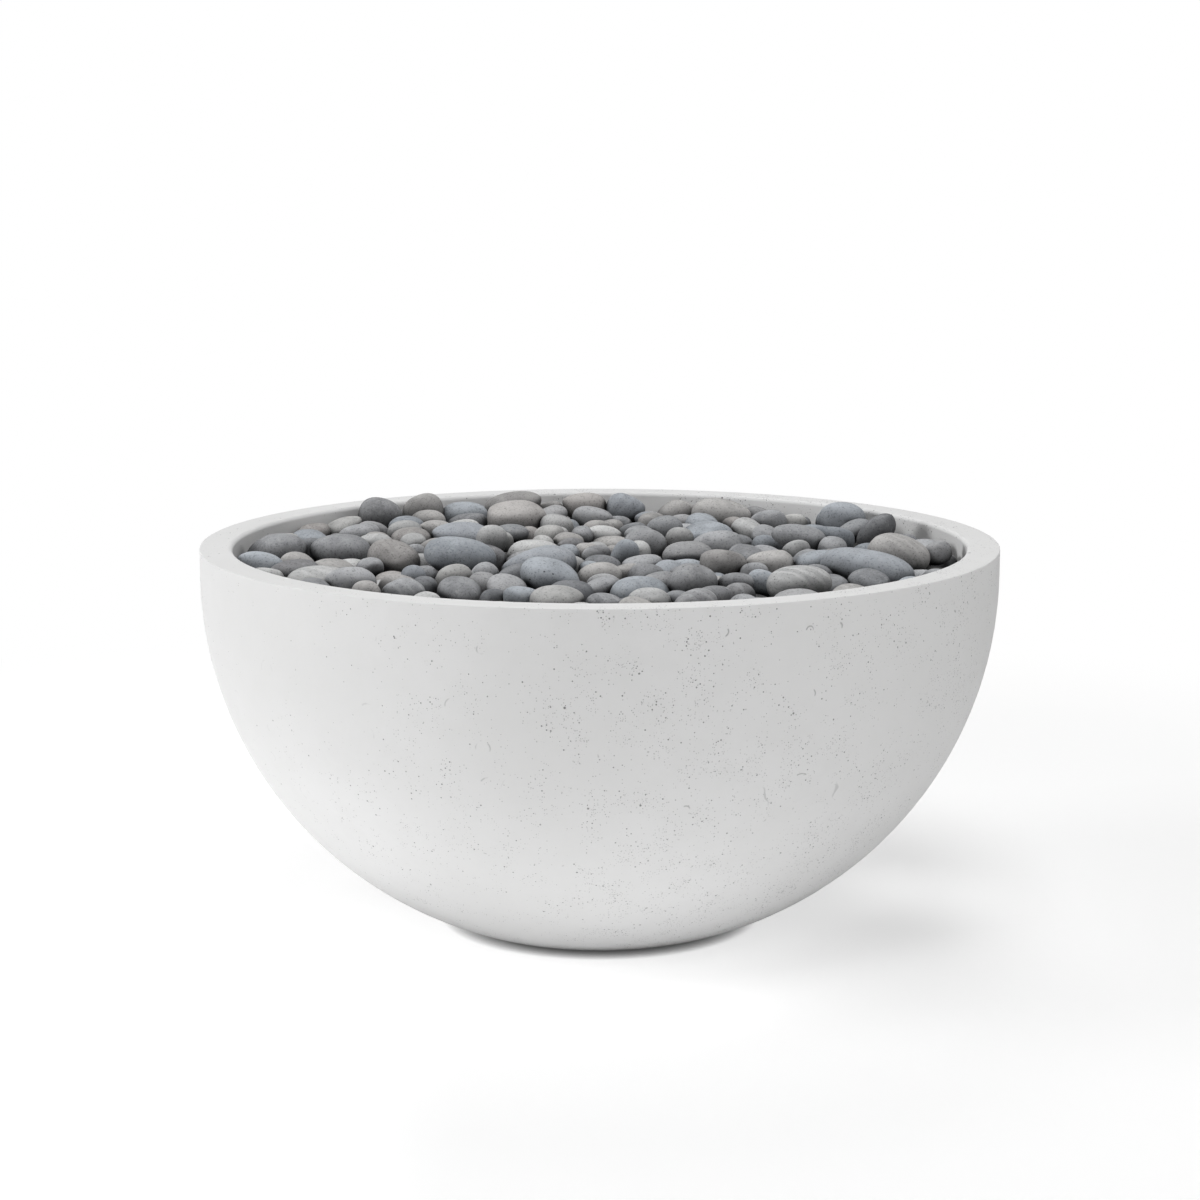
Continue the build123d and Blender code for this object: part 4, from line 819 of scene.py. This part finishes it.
# %% Put the ground together
near = ground.add("ShaderNodeAddShader")
ground.plug(lit, near.inputs[0])
ground.plug(glow, near.inputs[1])
plain = ground.add("ShaderNodeEmission", Color=grey(1), Strength=1.0).outputs[0]
outward = ground.ramp(ground.distance(ground.place), white_from, all_white_from)
both = ground.add("ShaderNodeMixShader", Fac=ground.times(outward, seen))
ground.plug(near.outputs[0], both.inputs[1])
ground.plug(plain, both.inputs[2])
ground.plug(both.outputs[0], ground.tree.nodes["Material Output"].inputs["Surface"])
ground.tree.nodes.remove(ground.shader)
floor.data.materials.append(ground.material)
print("ground of", len(ground.tree.nodes), "nodes")

# %% [markdown]
# ## Light
#
# A matt white bowl shows each lamp only by how the wall grows darker as it turns away, so the
# lamps were found by turning them on one at a time and comparing the wall at twenty places.
# The strongest stands low on the left: it makes that side of the wall the brightest place, and
# lays the shadow to the right. Three hang high, in front, above and behind, for the rim and the
# tops of the stones. A weak one keeps the right side from going dark. Three lie on the floor and
# face up: they stand for the bright studio floor, which lights the underside of the bowl.

# %% Lamps
bowl_middle = Vector((0, 0, 0.3))
dome_radius = 6.5
box_size = 2.4
over_floor = 0.002
dome_lamps = (  # name, degrees from the camera's side, degrees up, watts
    ("left_low", -90, 18, 178),
    ("front_high", 0, 62, 150),
    ("above", 0, 88, 60),
    ("back_high", 180, 50, 72),
    ("right_fill", 90, 30, 57),
)
floor_lamps = (  # name, x, y, width and depth in metres, watts
    ("floor_left", -1.5, -0.5, box_size, box_size, 3.8),
    ("floor_front", 0, -1.6, box_size, box_size, 5),
    ("floor_near", -0.1, -0.36, 0.7, 0.3, 0.13),
)


def softbox(name, place, target, width, height, power):
    """A rectangular lamp that faces a target."""
    lamp = new_object(name, bpy.data.lights.new(name, "AREA"))
    lamp.data.shape = "RECTANGLE"
    lamp.data.size, lamp.data.size_y = width, height
    lamp.data.energy = power
    lamp.location = place
    lamp.rotation_euler = (target - place).to_track_quat("-Z", "Y").to_euler()
    lamp.visible_camera = False


for name, azimuth, height, power in dome_lamps:
    turn, rise = math.radians(azimuth), math.radians(height)
    level = dome_radius * math.cos(rise)
    way = Vector((level * math.sin(turn), -level * math.cos(turn), dome_radius * math.sin(rise)))
    softbox(name, bowl_middle + way, bowl_middle, box_size, box_size, power)
for name, x, y, width, depth, power in floor_lamps:
    softbox(name, Vector((x, y, over_floor)), Vector((x, y, 1)), width, depth, power)
print(len(dome_lamps) + len(floor_lamps), "lamps")

# %% [markdown]
# The world adds a little soft light from all round. Where the camera looks past the floor, the
# world has to be plain white instead, so Light Path is asked once more.

# %% Sky
sky_light, sky_white = 0.2, 1.0

world = bpy.data.worlds.new("sky")
world.use_nodes = True
bpy.context.scene.world = world
sky = Graph(world.node_tree)
sky_rays = sky.add("ShaderNodeLightPath").outputs
sky_seen = sky.maths("MAXIMUM", sky_rays["Is Camera Ray"], sky_rays["Is Transmission Ray"])
sky_level = sky.add("ShaderNodeMapRange", Value=sky_seen, To_Min=sky_light, To_Max=sky_white)
background = sky.tree.nodes["Background"]
sky.plug(sky_level.outputs[0], background.inputs["Strength"])
sky.plug(grey(1), background.inputs["Color"])
bpy.context.scene.view_settings.view_transform = "Standard"
print("sky of strength", sky_light)

# %% [markdown]
# ## Last measurements
#
# The box of the dressed model is compared with the box of the frame, and the growth of each side
# is printed. They should agree to a millimetre or two, because the pebbles only fill out the
# ellipsoids that they stand for.

# %% Compare the sizes and finish
dressed_box = [list(corner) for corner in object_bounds()]
growth = [
    round((d - f) * millimetres, 2)
    for dressed, framed in zip(dressed_box, frame_box)
    for d, f in zip(dressed, framed)
]
print("growth of each side in millimetres:", growth)
